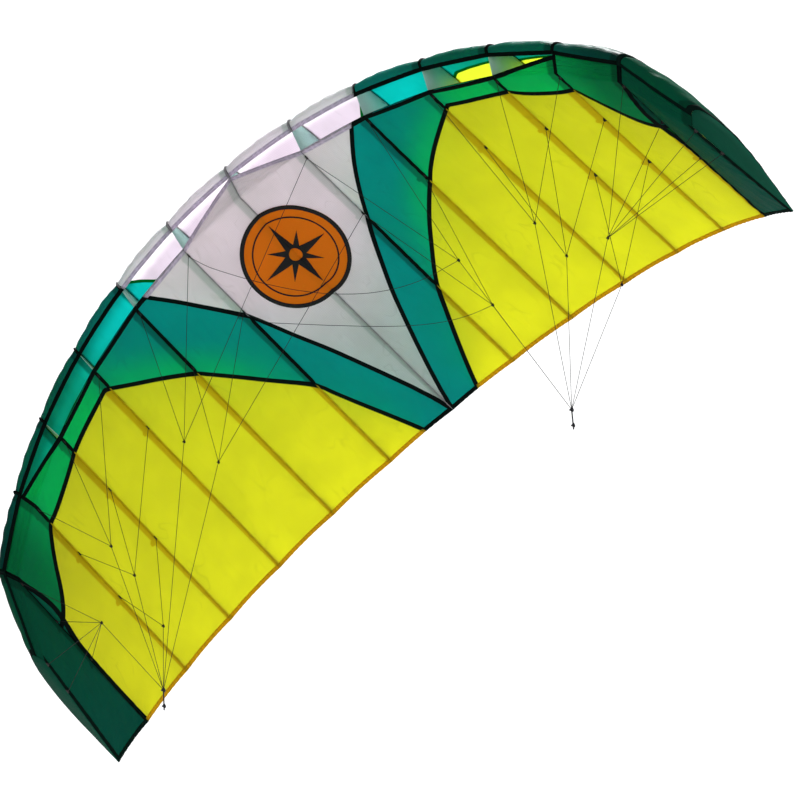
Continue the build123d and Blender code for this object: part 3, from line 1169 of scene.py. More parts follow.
class Finishes:
    """Every material of the kite, built once."""

    def __init__(self) -> None:
        """Builds the materials."""
        self.skin = {}
        for layer in Layer:
            cloth = Ripstop(f"{layer.value}_panels", SKIN_COLOURS[layer], lower=layer is Layer.LOWER)
            self.skin[layer] = cloth.material()
        self.tip = Ripstop("tip_panels", SKIN_COLOURS[Layer.LOWER], closed_tip=True).material()
        self.binding = {kind: BindingTape(kind).material() for kind in Binding}
        self.rib = Woven("rib_cloth", (0.76, 0.97, 0.93), glow=0.72).material()
        self.tip_wall = Woven("tip_wall_cloth", (0.004, 0.16, 0.09), glow=0.5).material()
        self.tab = Woven("tab_webbing", (0.006, 0.007, 0.008), threads=700).material()
        self.line = Woven("braided_line", (0.010, 0.011, 0.010), threads=650).material()
        self.sleeve = Woven("leader_sleeve", (0.035, 0.036, 0.042), threads=420).material()
        self.thread = Woven("bartack_thread", (0.075, 0.070, 0.060), threads=1500).material()
        self.orange = Woven("patch_cloth", (0.95, 0.36, 0.010), threads=480, glow=0.66, on_cloth=True,
                            fleck=0.15).material()
        self.black = Woven("patch_trim", (0.003, 0.004, 0.004), threads=480, on_cloth=True).material()


# ---------------------------------------------------------------- the wing


SKIN_SLOTS = {1: "white_ripstop", 2: "teal_ripstop", PLAN.last_rib: "dark_green_ripstop"}


@dataclass(frozen=True)
class Skins:
    """The upper and lower cloth of every cell."""

    columns: int = 30
    rows: int = 104
    flap_rows: int = 9
    thickness: float = 0.0005
    nose_crowding: float = 1.5
    allowance: float = 0.027  # width of the painted rib shade on one side of a seam, at the nose
    allowance_taper: float = 0.70  # share of it lost towards the tail
    lower_fullness: float = 1.09  # length of the cut cloth, as a share of the longer rib
    upper_fullness: float = 1.22
    seam_share: float = 1.015  # width of the cut cloth, as a share of the cell's

    def lower_shape(self, cell: Cell) -> Bending:
        """The bent shape of a cell's lower skin.

        Args:
            cell: the cell to cover.
        Returns:
            The shape, for mapped_grid.
        """
        def shape(across: np.ndarray, along: np.ndarray) -> Shape:
            """Crowds rows on the turned-up front flap.

            Args:
                across: share across the grid.
                along: share along it.
            Returns:
                Points, attributes and metric UVs.
            """
            row = along * self.rows
            place = np.where(row < self.flap_rows, row / self.flap_rows - 1,
                             (row - self.flap_rows) / (self.rows - self.flap_rows))
            return self.described(cell, cell.lower(across, place), across, place, False)
        return shape

    def upper_shape(self, cell: Cell) -> Bending:
        """The bent shape of a cell's upper skin.

        Args:
            cell: the cell to cover.
        Returns:
            The shape, for mapped_grid.
        """
        def shape(across: np.ndarray, along: np.ndarray) -> Shape:
            """Crowds rows at the nose; see mapped_grid."""
            place = along ** self.nose_crowding
            return self.described(cell, cell.upper(across, place), across, place, True)
        return shape

    def described(self, cell: Cell, points: np.ndarray, across: np.ndarray, place: np.ndarray,
                  upper: bool) -> Shape:
        """Adds what the materials read to a cell's points.

        Args:
            cell: the cell that the points lie on.
            points: places on the cloth.
            across: 0 at the inner rib, 1 at the outer rib.
            place: 0 at the lip, 1 at the trailing edge.
            upper: whether this is the upper skin.
        Returns:
            Points, attributes and metric UVs.
        """
        span, back = cell.plan_place(across, points)
        values = PANELS.edges(span, back, upper)
        values["span"], values["back"] = span, back
        values["seam"] = np.minimum(across, 1 - across) * cell.width
        chord = cell.chord_at(across)
        # Painted shade of the ribs: a band on one side of each seam, narrowing towards the tail.
        gap = (1 - across if cell.side is Side.RIGHT else across) * cell.width
        reach = self.allowance * (1 - self.allowance_taper * np.clip(place, 0, 1)) + 0.003
        values["allowance"] = gap / reach
        # Painted shadow of each tab's reinforcement: a spot beside the tab, on the same side as the rib
        # shade.
        sewn = cell.ribs[1 if cell.side is Side.RIGHT else 0]
        near = np.full(len(points), 9.0)
        for row in TAB_ROWS.get(sewn.number, ()):
            along = (place - row.value) * chord - 0.009
            near = np.minimum(near, np.hypot((gap - 0.012) / 0.017, along / 0.011))
        values["anchor"] = near
        values["nose"] = place * chord if upper else np.full(len(points), 1.0)
        return points, values, np.column_stack([span * cell.side.value, place * chord])

    def build(self, cells: Iterable[Cell], finishes: Finishes) -> None:
        """Makes both skins of each cell.

        Args:
            cells: the cells to cover.
            finishes: the materials.
        """
        for cell in cells:
            up = Vector(cell.ribs[0].up)
            for layer in Layer:
                lower = layer is Layer.LOWER
                shape = self.lower_shape(cell) if lower else self.upper_shape(cell)
                name = f"{layer.value}_cloth_{cell.side.word}_{cell.number}"
                mesh = mapped_grid(self.columns, self.rows, shape)
                piece = finished(name, [mesh], -up if lower else up, self.thickness, -1.0)
                slot = SKIN_SLOTS.get(cell.number, "yellow_ripstop")
                dress(piece, finishes.tip if cell.tip else finishes.skin[layer], slot)
                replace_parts(piece, f"{layer.value}_skin_{cell.side.word}_{cell.number}")
                cell.attach(piece)
                self.declare(cell, lower)

    def declare(self, cell: Cell, lower: bool) -> None:
        """Works out the length that the cloth was cut to, and keeps nothing.

        Args:
            cell: the cell that it covers.
            lower: whether it is the lower skin.
        """
        a, b = cell.ribs
        longest = max(a.chord, b.chord) * (self.lower_fullness if lower else self.upper_fullness)
        ribs = [f"rib_{cell.side.word}_{cell.number}"]


@dataclass(frozen=True)
class Ribs:
    """Rib plates with their cross ports."""

    thickness: float = 0.0009
    outline_steps: int = 60
    port_steps: int = 40

    def loop(self, mesh: bmesh.types.BMesh, points: np.ndarray) -> None:
        """Adds a closed ring of edges.

        Args:
            mesh: the mesh that gets them.
            points: the ring's corners in order.
        """
        verts = [mesh.verts.new(point) for point in points]
        for first, second in zip(verts, verts[1:] + verts[:1]):
            mesh.edges.new((first, second))

    def plate(self, rib: Rib) -> bmesh.types.BMesh:
        """The flat plate of one rib, with round ports unless it closes the wing.

        Args:
            rib: the rib to cut.
        Returns:
            An open flat mesh in the rib's plane.
        """
        mesh = bmesh.new()
        inset = 0.0006
        over = rib.over(np.linspace(0, 1, self.outline_steps)) - rib.up * inset
        under = rib.at(np.array([-rib.chord, 0.0]), np.array([inset, inset]))
        self.loop(mesh, np.vstack([over, under]))
        if rib.number not in (0, PLAN.last_rib):
            turn = np.linspace(0, 2 * math.pi, self.port_steps, endpoint=False)
            for ahead, height, radius in np.array(PLAN.ports) * rib.chord:
                self.loop(mesh, rib.at(ahead + radius * np.cos(turn), height + radius * np.sin(turn)))
        bmesh.ops.triangle_fill(mesh, use_beauty=True, use_dissolve=False, edges=mesh.edges[:])
        bmesh.ops.recalc_face_normals(mesh, faces=mesh.faces)
        return mesh

    def build(self, finishes: Finishes) -> None:
        """Makes every rib.

        Args:
            finishes: the materials.
        """
        for side in Side:
            for rib in RIBS[side]:
                if rib.number == 0 and side is Side.LEFT:
                    continue
                node = "rib_centre" if rib.number == 0 else f"rib_{side.word}_{rib.number}"
                piece = finished(f"{node}_plate", [self.plate(rib)], Vector(rib.out), self.thickness)
                if rib.number == PLAN.last_rib:
                    dress(piece, finishes.tip_wall, "dark_green_ripstop")
                else:
                    dress(piece, finishes.rib, "rib_cloth")
                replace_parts(piece, node)
                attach(piece, "centre_section" if rib.number == 0 else Cell(rib.number, side).body)


@dataclass(frozen=True)
class Bindings:
    """Hems of the lips and the trailing edge, and the seam tapes over the ribs."""

    lip_width: float = 0.015
    seam_half: float = 0.0058
    thin_half: float = 0.0016
    tail_width: float = 0.015
    proud: float = 0.0006
    thickness: float = 0.0007
    closing_width: float = 0.014  # of the seam that closes an outer cell's nose
    end_width: float = 0.012
    dark_fade: float = 0.012  # metres over which a tape widens into the green band
    nose_fin: float = 0.0065  # height of the seam's turned-out edge around the nose
    flap_share: float = 0.06  # share of a lower tape's rows that lie on the turned-up front flap
    columns: int = 30
    long_rows: int = 150

    def described(self, cell: Cell, points: np.ndarray, across: np.ndarray, edge: np.ndarray,
                  along: np.ndarray, dark: bool) -> Shape:
        """Adds what the tape material reads.

        Args:
            cell: the cell that the places lie on.
            points: places on the tape.
            across: share of the cell's width.
            edge: 0 to 1 across the tape's own width.
            along: metres along the tape.
            dark: whether the tape is black whatever panel it lies on.
        Returns:
            Points, attributes and metric UVs.
        """
        span, back = cell.plan_place(across, points)
        values = PANELS.edges(span, back)
        rail = np.minimum(np.abs(edge - 0.2), np.abs(edge - 0.8))
        dash = (np.mod(along, 0.006) < 0.0042).astype(float)
        values["stitch"] = np.clip(1 - rail / 0.12, 0, 1) * dash
        values["dark"] = np.full(len(points), float(dark))
        return points, values, np.column_stack([along, edge * 0.012])

    def crown(self, edge: np.ndarray) -> np.ndarray:
        """Height of the tape above the cloth, rounded off at its sides."""
        return self.proud * (0.35 + 0.65 * np.clip(np.sin(edge * math.pi), 0, 1) ** 0.5)

    def lip(self, cell: Cell, layer: Layer, width: float) -> bmesh.types.BMesh:
        """The folded hem of one lip across a cell, black where the lips are sewn together.

        Args:
            cell: the cell that the hem crosses.
            layer: which lip.
            width: of the hem.
        Returns:
            The hem's open surface.
        """
        a, b = cell.ribs

        def shape(across: np.ndarray, edge: np.ndarray) -> Shape:
            """Runs inwards from the cloth's front edge.

            Args:
                across: share of the cell's width.
                edge: share of the hem's width.
            Returns:
                Points, attributes and metric UVs.
            """
            chord = cell.chord_at(across)
            inward = edge * width
            place = inward / (chord * 1.2)
            if layer is Layer.LOWER:
                flap = np.hypot(*a.flap) * (1 - across) + np.hypot(*b.flap) * across
                place = np.where(inward < flap, inward / flap - 1, (inward - flap) / chord)
            points = cell.skin(layer)(across, place, self.crown(edge))
            return self.described(cell, points, across, edge, across * cell.width, cell.closed_nose)
        return mapped_grid(self.columns, 4, shape)

    def tail(self, cell: Cell) -> bmesh.types.BMesh:
        """The hem along the trailing edge.

        Args:
            cell: the cell that the hem crosses.
        Returns:
            The hem's open surface.
        """
        def shape(across: np.ndarray, edge: np.ndarray) -> Shape:
            """Runs forwards from the trailing edge.

            Args:
                across: share of the cell's width.
                edge: share of the hem's width.
            Returns:
                Points, attributes and metric UVs.
            """
            place = 1 - edge * self.tail_width / cell.chord_at(across)
            points = cell.lower(across, place, self.crown(edge))
            return self.described(cell, points, across, edge, across * cell.width, cell.tip)
        return mapped_grid(self.columns * 2, 4, shape)

    def end_seam(self, cell: Cell, layer: Layer) -> bmesh.types.BMesh:
        """The black seam along the outermost rib.

        Args:
            cell: the outermost cell.
            layer: which skin it lies on.
        Returns:
            The seam's open surface.
        """
        def shape(edge: np.ndarray, place: np.ndarray) -> Shape:
            """Runs inwards from the end rib.

            Args:
                edge: share of the seam's width.
                place: 0 at the lip, 1 at the trailing edge.
            Returns:
                Points, attributes and metric UVs.
            """
            across = 1 - edge * self.end_width / cell.width
            points = cell.skin(layer)(across, place, self.crown(edge))
            return self.described(cell, points, across, edge, place * cell.ribs[1].chord, True)
        return mapped_grid(4, self.long_rows, shape)

    def half_width(self, rib: Rib, place: np.ndarray, layer: Layer) -> np.ndarray | float:
        """Half the width of the tape over a rib, wider on the underside's green band.

        Args:
            rib: the rib below the tape.
            place: 0 at the lip, 1 at the trailing edge.
            layer: which skin it lies on.
        Returns:
            Metres.
        """
        if layer is Layer.UPPER:
            return self.seam_half * 0.8
        if rib.number == PLAN.last_rib - 1:
            return self.thin_half
        behind = np.clip(place, 0, 1) * rib.chord * rib.ahead[2]
        back = PLAN.root_lip - (rib.lip[2] - behind)
        panel = PANELS.edges(np.full(len(place), rib.span), back)
        inside = (panel["band_edge"], -panel["white_edge"])
        dark = math.prod(np.clip(gap / self.dark_fade, 0, 1) for gap in inside)
        return self.thin_half + (self.seam_half - self.thin_half) * dark

    def seam(self, inner: Cell, outer: Cell, layer: Layer) -> bmesh.types.BMesh:
        """The tape over the rib between two cells.

        Args:
            inner: the cell on one side, the left one at the centre rib.
            outer: the cell on the other side.
            layer: which skin it lies on.
        Returns:
            The tape's open surface.
        """
        same_side = inner.side is outer.side
        shared = inner.ribs[1] if same_side else inner.ribs[0]

        def shape(edge: np.ndarray, along: np.ndarray) -> Shape:
            """Lays half of the tape on each cell.

            Args:
                edge: share of the tape's width.
                along: share of its length.
            Returns:
                Points, attributes and metric UVs.
            """
            place, rise = along, self.crown(edge)
            if layer is Layer.LOWER:
                place = np.where(along < self.flap_share, along / self.flap_share - 1,
                                 (along - self.flap_share) / (1 - self.flap_share))
            else:
                nose = np.clip((0.10 - place) / 0.05, 0, 1)
                rise = rise + self.nose_fin * np.sin(edge * math.pi) ** 2 * nose
            reach = (edge - 0.5) * 2 * self.half_width(shared, place, layer)
            parts = []
            for cell in (inner, outer):
                share = np.abs(reach) / cell.width
                across = 1 - share if cell is inner and same_side else share
                points = cell.skin(layer)(across, place, rise)
                parts.append(self.described(cell, points, across, edge, place * shared.chord, False))
                if outer.tip:
                    parts[-1][1]["tip_edge"] = np.full(len(points), -1.0)
            (first, values, metric), (second, others, _) = parts
            on_outer = reach >= 0
            points = np.where(on_outer[:, None], second, first)
            return points, {key: np.where(on_outer, others[key], values[key]) for key in values}, metric
        return mapped_grid(6, self.long_rows, shape)

    def build(self, cells: dict[Side, list[Cell]], finishes: Finishes) -> None:
        """Makes every hem and seam tape.

        Args:
            cells: each side's cells, from the centre outwards.
            finishes: the materials.
        """
        for side in Side:
            for cell in cells[side]:
                self.hems(cell, finishes)
            for inner, outer in zip(cells[side], cells[side][1:]):
                self.tape(f"{side.word}_{inner.number}", inner, outer, finishes)
            end = cells[side][-1]
            parts = [self.end_seam(end, layer) for layer in Layer]
            piece = finished(f"end_seam_{side.word}", parts, Vector(end.ribs[1].out), self.thickness)
            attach(dress(piece, finishes.binding[Binding.SEAM], "seam_tape"), end.body)
        self.tape("centre", cells[Side.LEFT][0], cells[Side.RIGHT][0], finishes)

    def hems(self, cell: Cell, finishes: Finishes) -> None:
        """Makes one cell's lip and tail hems.

        Args:
            cell: the cell.
            finishes: the materials.
        """
        tag = f"{cell.side.word}_{cell.number}"
        down = -Vector(cell.ribs[0].up)
        if cell.closed_nose:
            parts = [self.lip(cell, Layer.UPPER, self.closing_width)]
        else:
            parts = [self.lip(cell, layer, self.lip_width) for layer in (Layer.UPPER, Layer.LOWER)]
        lips = finished(f"lip_hem_{tag}", parts, Vector(cell.ribs[0].ahead) + down, self.thickness)
        dress(lips, finishes.binding[Binding.LIP], "white_hem" if cell.number <= 2 else "seam_tape")
        cell.attach(lips)
        tail = finished(f"tail_hem_{tag}", [self.tail(cell)], down, self.thickness)
        dress(tail, finishes.binding[Binding.TAIL], "amber_hem")
        cell.attach(tail)

    def tape(self, tag: str, inner: Cell, outer: Cell, finishes: Finishes) -> None:
        """Makes the lower and upper tape over one rib.

        Args:
            tag: the rib's side and number, for the pieces' names.
            inner: the cell on one side, the left one at the centre rib.
            outer: the cell on the other side.
            finishes: the materials.
        """
        up = Vector(inner.ribs[0].up)
        for layer in Layer:
            piece = finished(f"{layer.value}_seam_{tag}", [self.seam(inner, outer, layer)],
                             up if layer is Layer.UPPER else -up, self.thickness)
            dress(piece, finishes.binding[Binding.SEAM], "seam_tape")
            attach(piece, inner.body)


@dataclass(frozen=True)
class Patch:
    """The round appliqué patch on the underside, with a rim and a compass star."""

    radius: float = 0.180
    setback: float = 0.262
    rim: float = 0.014
    thin_ring: tuple[float, float] = (0.136, 0.141)
    hole: float = 0.022
    long_star: tuple[int, float, float] = (4, 0.128, 0.026)  # points, tip radius and waist radius
    short_star: tuple[int, float, float] = (8, 0.092, 0.030)
    thickness: float = 0.0005
    turns: int = 192
    disc_lift: float = 0.0020
    trim_lift: float = 0.0028
    star_lift: float = 0.0034

    def on_cloth(self, x: np.ndarray, z: np.ndarray, proud: float) -> np.ndarray:
        """Points on the lower skin of the two centre cells.

        Args:
            x: metres to the right of the centre rib.
            z: metres ahead of the patch's middle.
            proud: metres outside the cloth.
        Returns:
            Rows of X, Y, Z.
        """
        points = np.empty((len(x), 3))
        for side in Side:
            cell = Cell(1, side)
            a, b = cell.ribs
            here = (x >= 0) == (side is Side.RIGHT)
            across = np.clip(np.abs(x) / cell.width, 0, 1)
            lip = a.lip[2] * (1 - across) + b.lip[2] * across
            place = (lip - (PLAN.root_lip - self.setback + z)) / cell.chord_at(across)
            points[here] = cell.lower(across, place, proud)[here]
        return points

    def circle(self, radius: float) -> Outline:
        """A round outline."""
        return lambda turn: np.full(len(turn), radius)

    def ring(self, inner: Outline, outer: Outline, proud: float, rings: int) -> bmesh.types.BMesh:
        """A piece of cloth between two outlines around the patch's middle.

        Args:
            inner: radius of the inner outline at an angle.
            outer: radius of the outer outline at an angle.
            proud: metres outside the cloth.
            rings: faces across it.
        Returns:
            The closed ring, merged where it meets itself.
        """
        def shape(around: np.ndarray, share: np.ndarray) -> Shape:
            """Runs round the middle.

            Args:
                around: share of a turn.
                share: 0 at the inner outline, 1 at the outer.
            Returns:
                Points, attributes and metric UVs.
            """
            turn = around * 2 * math.pi
            reach = inner(turn) * (1 - share) + outer(turn) * share
            x, z = reach * np.sin(turn), reach * np.cos(turn)
            return self.on_cloth(x, z, proud), {}, np.column_stack([x, z])
        mesh = mapped_grid(self.turns, rings, shape)
        bmesh.ops.remove_doubles(mesh, verts=mesh.verts, dist=0.00005)
        bmesh.ops.dissolve_degenerate(mesh, edges=mesh.edges, dist=0.00002)
        return mesh

    def star(self, points: int, tip: float, waist: float) -> Outline:
        """The straight-sided outline of a star.

        Args:
            points: how many it has.
            tip: radius at its points.
            waist: radius between them.
        Returns:
            The radius at each angle.
        """
        step = math.pi / points

        def outline(turn: np.ndarray) -> np.ndarray:
            """Follows one side of a point.

            Args:
                turn: angles.
            Returns:
                The radius at each angle.
            """
            part = np.mod(turn, 2 * step)
            part = np.minimum(part, 2 * step - part)
            rise = waist * math.sin(step)
            return tip * rise / (rise * np.cos(part) + (tip - waist * math.cos(step)) * np.sin(part))
        return outline

    def build(self, finishes: Finishes) -> None:
        """Makes the patch, its rim and its star.

        Args:
            finishes: the materials.
        """
        hole, edge = self.circle(self.hole), self.circle(self.radius)
        thin = [self.circle(radius) for radius in self.thin_ring]
        black = [
            self.ring(self.circle(self.radius - self.rim), edge, self.trim_lift, rings=3),
            self.ring(*thin, self.trim_lift, rings=2),
            self.ring(hole, self.star(*self.short_star), self.trim_lift, rings=8),
            self.ring(hole, self.star(*self.long_star), self.star_lift, rings=10),
        ]
        disc = [self.ring(self.circle(0.0), edge, self.disc_lift, rings=24)]
        for name, meshes, material, slot in (("patch_disc", disc, finishes.orange, "patch_orange"),
                                             ("patch_star_and_rim", black, finishes.black, "patch_black")):
            piece = dress(finished(name, meshes, Vector((0, -1, 0)), self.thickness), material, slot)
            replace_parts(piece, "emblem_patch")
            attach(piece, "centre_section")


# ---------------------------------------------------------------- the bridle


class Row(Enum):
    """Rows of bridle tabs, as shares of the underside behind the lower lip."""

    A = 0.016
    B = 0.279
    C = 0.543


TAB_ROWS = {1: (Row.A, Row.B), 2: (Row.A, Row.B), 3: (Row.A, Row.B), 4: tuple(Row), 5: tuple(Row),
            6: tuple(Row), 7: (Row.A, Row.B)}

KNOTS = {
    Side.LEFT: {
        "a_inner": (-0.536, -0.310, 0.124), "b_inner": (-0.503, -0.312, 0.000),
        "a_outer": (-0.877, -0.531, 0.079), "b_outer": (-0.882, -0.557, -0.036),
        "c_outer": (-0.942, -0.543, -0.231), "tip": (-1.046, -0.631, -0.065),
        "tow": (-0.801, -1.301, -0.151),
    },
    Side.RIGHT: {
        "a_inner": (0.540, -0.310, 0.008), "b_inner": (0.516, -0.312, -0.176),
        "a_outer": (0.878, -0.531, 0.012), "b_outer": (0.885, -0.557, -0.128),
        "c_outer": (0.942, -0.543, -0.320), "tip": (1.046, -0.631, -0.145),
        "tow": (0.793, -1.301, -0.285),
    },
}

# Points between tab and knot of the two crossing lines that hang slack, from the left wing's tabs
SLACK = {
    "a_inner": (
        (-0.231, 0.146, 0.392), (-0.194, 0.116, 0.351), (-0.156, 0.087, 0.311), (-0.117, 0.057, 0.272),
        (-0.076, 0.028, 0.235), (-0.034, -0.002, 0.199), (0.010, -0.032, 0.166), (0.055, -0.062, 0.136),
        (0.102, -0.091, 0.108), (0.150, -0.120, 0.083), (0.200, -0.149, 0.061), (0.252, -0.177, 0.043),
        (0.306, -0.205, 0.028), (0.361, -0.232, 0.018), (0.418, -0.258, 0.011), (0.477, -0.283, 0.010),
    ),
    "b_inner": (
        (-0.224, 0.144, 0.120), (-0.178, 0.114, 0.095), (-0.132, 0.084, 0.069), (-0.085, 0.054, 0.043),
        (-0.038, 0.024, 0.016), (0.010, -0.006, -0.010), (0.058, -0.037, -0.036), (0.106, -0.068, -0.061),
        (0.155, -0.099, -0.085), (0.204, -0.130, -0.107), (0.254, -0.161, -0.127), (0.304, -0.192, -0.144),
        (0.355, -0.222, -0.158), (0.407, -0.252, -0.168), (0.460, -0.281, -0.174),
    ),
}

CASCADES = {
    "a_inner": ((1, Row.A), (2, Row.A)),
    "b_inner": ((1, Row.B), (2, Row.B)),
    "a_outer": ((3, Row.A), (4, Row.A), (5, Row.A)),
    "b_outer": ((3, Row.B), (4, Row.B), (5, Row.B)),
    "c_outer": ((4, Row.C), (5, Row.C)),
    "tip": ((6, Row.A), (6, Row.B), (6, Row.C)),
}


@dataclass(frozen=True)
class Tabs:
    """Stitched bridle tabs below the ribs."""

    base: float = 0.018
    end: float = 0.007
    drop: float = 0.011
    bite: float = 0.002
    thick: float = 0.0022

    def middle(self, rib: Rib, row: Row) -> float:
        """The tab's middle, ahead of the lower lip."""
        return -row.value * rib.chord - self.base / 2

    def line_end(self, rib: Rib, row: Row, shift: float = 0.0) -> np.ndarray:
        """Where a line leaves the tab."""
        return rib.at(self.middle(rib, row) + shift, self.bite - self.drop)[0]

    def placed(self, rib: Rib, row: Row, height: float) -> Matrix:
        """The matrix of a place on the tab: X out of its plane, Y ahead and Z up."""
        axes = Matrix([rib.out, rib.ahead, rib.up]).transposed().to_4x4()
        return Matrix.Translation(Vector(rib.at(self.middle(rib, row), height)[0])) @ axes

    def webbing(self, rib: Rib, row: Row) -> bmesh.types.BMesh:
        """One tapered tab, with its base sewn over the seam.

        Args:
            rib: the rib that carries it.
            row: its place along the rib.
        Returns:
            The closed tab.
        """
        mesh = bmesh.new()
        bmesh.ops.create_cube(mesh, size=1.0)
        bmesh.ops.subdivide_edges(mesh, edges=mesh.edges, cuts=3, use_grid_fill=True)
        for vertex in mesh.verts:
            down = 0.5 - vertex.co.z
            width = self.base * (1 - down) + self.end * down
            swell = 1 + 0.35 * math.sin(math.pi * down)
            x, y, _ = vertex.co
            vertex.co = Vector((x * self.thick * swell, y * width, -down * self.drop + 0.0012))
        rims = [edge for edge in mesh.edges if edge.calc_face_angle(0) > 0.9]
        bmesh.ops.bevel(mesh, geom=rims, offset=0.0005, segments=2, profile=0.5, material=-1, affect="EDGES")
        mesh.transform(self.placed(rib, row, 0.0))
        return mesh

    def bartacks(self, rib: Rib, row: Row) -> Iterable[bmesh.types.BMesh]:
        """Rows of dense stitches across the tab.

        Args:
            rib: the rib that carries it.
            row: its place along the rib.
        Yields:
            One closed block for each row of stitches.
        """
        for height, width in ((-0.0018, 0.014), (-0.0052, 0.009)):
            mesh = bmesh.new()
            bmesh.ops.create_cube(mesh, size=1.0)
            bmesh.ops.subdivide_edges(mesh, edges=mesh.edges, cuts=7, use_grid_fill=True)
            for vertex in mesh.verts:
                rough = 1 + 0.12 * math.sin(vertex.co.y * 44)
                x, y, z = vertex.co
                vertex.co = Vector((x * self.thick * 1.62 * rough, y * width, z * 0.0011))
            mesh.transform(self.placed(rib, row, height))
            yield mesh

    def build(self, finishes: Finishes) -> None:
        """Makes every tab, grouped by the body that carries it.

        Args:
            finishes: the materials.
        """
        groups = {"bridle_tabs_centre": ("centre_section", [(s, n) for s in Side for n in (1, 2)])}
        for side in Side:
            word = side.word
            groups[f"bridle_tabs_{word}_wing"] = (f"{word}_wing", [(side, n) for n in (3, 4, 5, 6)])
            groups[f"bridle_tabs_{word}_tip"] = (f"{word}_tip", [(side, 7)])
        for node, (body, ribs) in groups.items():
            places = [(RIBS[side][n], row) for side, n in ribs for row in TAB_ROWS[n]]
            webs = finished(f"{node}_webbing", [self.webbing(*place) for place in places])
            dress(webs, finishes.tab, "seam_tape")
            tacks = [tack for place in places for tack in self.bartacks(*place)]
            stitches = finished(f"{node}_bartacks", tacks)
            dress(stitches, finishes.thread, "thread")
            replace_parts(webs, node)
            for piece in (webs, stitches):
                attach(piece, body)


TABS = Tabs()


@dataclass(frozen=True)
class Line:
    """One bridle line along its route."""

    name: str
    node: str
    route: tuple
    bodies: tuple[str, ...]
    diameter: float = 0.0018
    far_end: str = "knot"
    lay: str = "taut"
    declared: bool = True

    @property
    def length(self) -> float:
        """The route's length."""
        return float(np.linalg.norm(np.diff(np.array(self.route), axis=0), axis=1).sum())

    def curve(self, bevel: float) -> bpy.types.Object:
        """The route's smooth NURBS line.

        Args:
            bevel: the radius drawn round it.
        Returns:
            The linked curve object.
        """
        data = bpy.data.curves.new(self.name, "CURVE")
        data.dimensions = "3D"
        spline = data.splines.new("NURBS")
        spline.points.add(len(self.route) - 1)
        for target, point in zip(spline.points, self.route):
            target.co = (*point, 1.0)
        spline.order_u = 3
        spline.use_endpoint_u = True
        spline.resolution_u = 8
        data.bevel_depth = bevel
        data.bevel_resolution = 3
        data.use_fill_caps = True
        piece = bpy.data.objects.new(self.name, data)
        bpy.context.scene.collection.objects.link(piece)
        return piece

    def tube(self) -> tuple[bpy.types.Object, list[Point]]:
        """The line as a mesh tube, with the points that it follows.

        Returns:
            The tube, and its centreline read from the NURBS line.
        """
        drawn = self.curve(0.0)
        graph = bpy.context.evaluated_depsgraph_get()
        centre = bpy.data.meshes.new_from_object(drawn.evaluated_get(graph))
        path = [tuple(vertex.co) for vertex in centre.vertices]
        bpy.data.meshes.remove(centre)
        drawn.data.bevel_depth = self.diameter / 2
        graph = bpy.context.evaluated_depsgraph_get()
        mesh = bpy.data.meshes.new_from_object(drawn.evaluated_get(graph))
        bpy.data.objects.remove(drawn)
        tube = bmesh.new()
        tube.from_mesh(mesh)
        bmesh.ops.remove_doubles(tube, verts=tube.verts, dist=0.00001)
        tube.to_mesh(mesh)
        tube.free()
        return new_object(self.name, mesh), path

    def build(self, material: bpy.types.Material, slot: str) -> bpy.types.Object:
        """Args:
            material: of the line.
            slot: the record's slot.
        Returns:
            The line's object.
        """
        path = None
        if len(self.bodies) == 2:
            piece, path = self.tube()
        else:
            piece = self.curve(self.diameter / 2)
        dress(piece, material, slot)
        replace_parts(piece, self.node)
        start, end = self.route[0], self.route[-1]
        if len(self.bodies) == 2:
            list(self.bodies)
            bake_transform(piece)
            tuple(start)
            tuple(end)
        else:
            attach(piece, self.bodies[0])
        if self.declared:
            self.length
            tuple(start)
            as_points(path)
        return piece


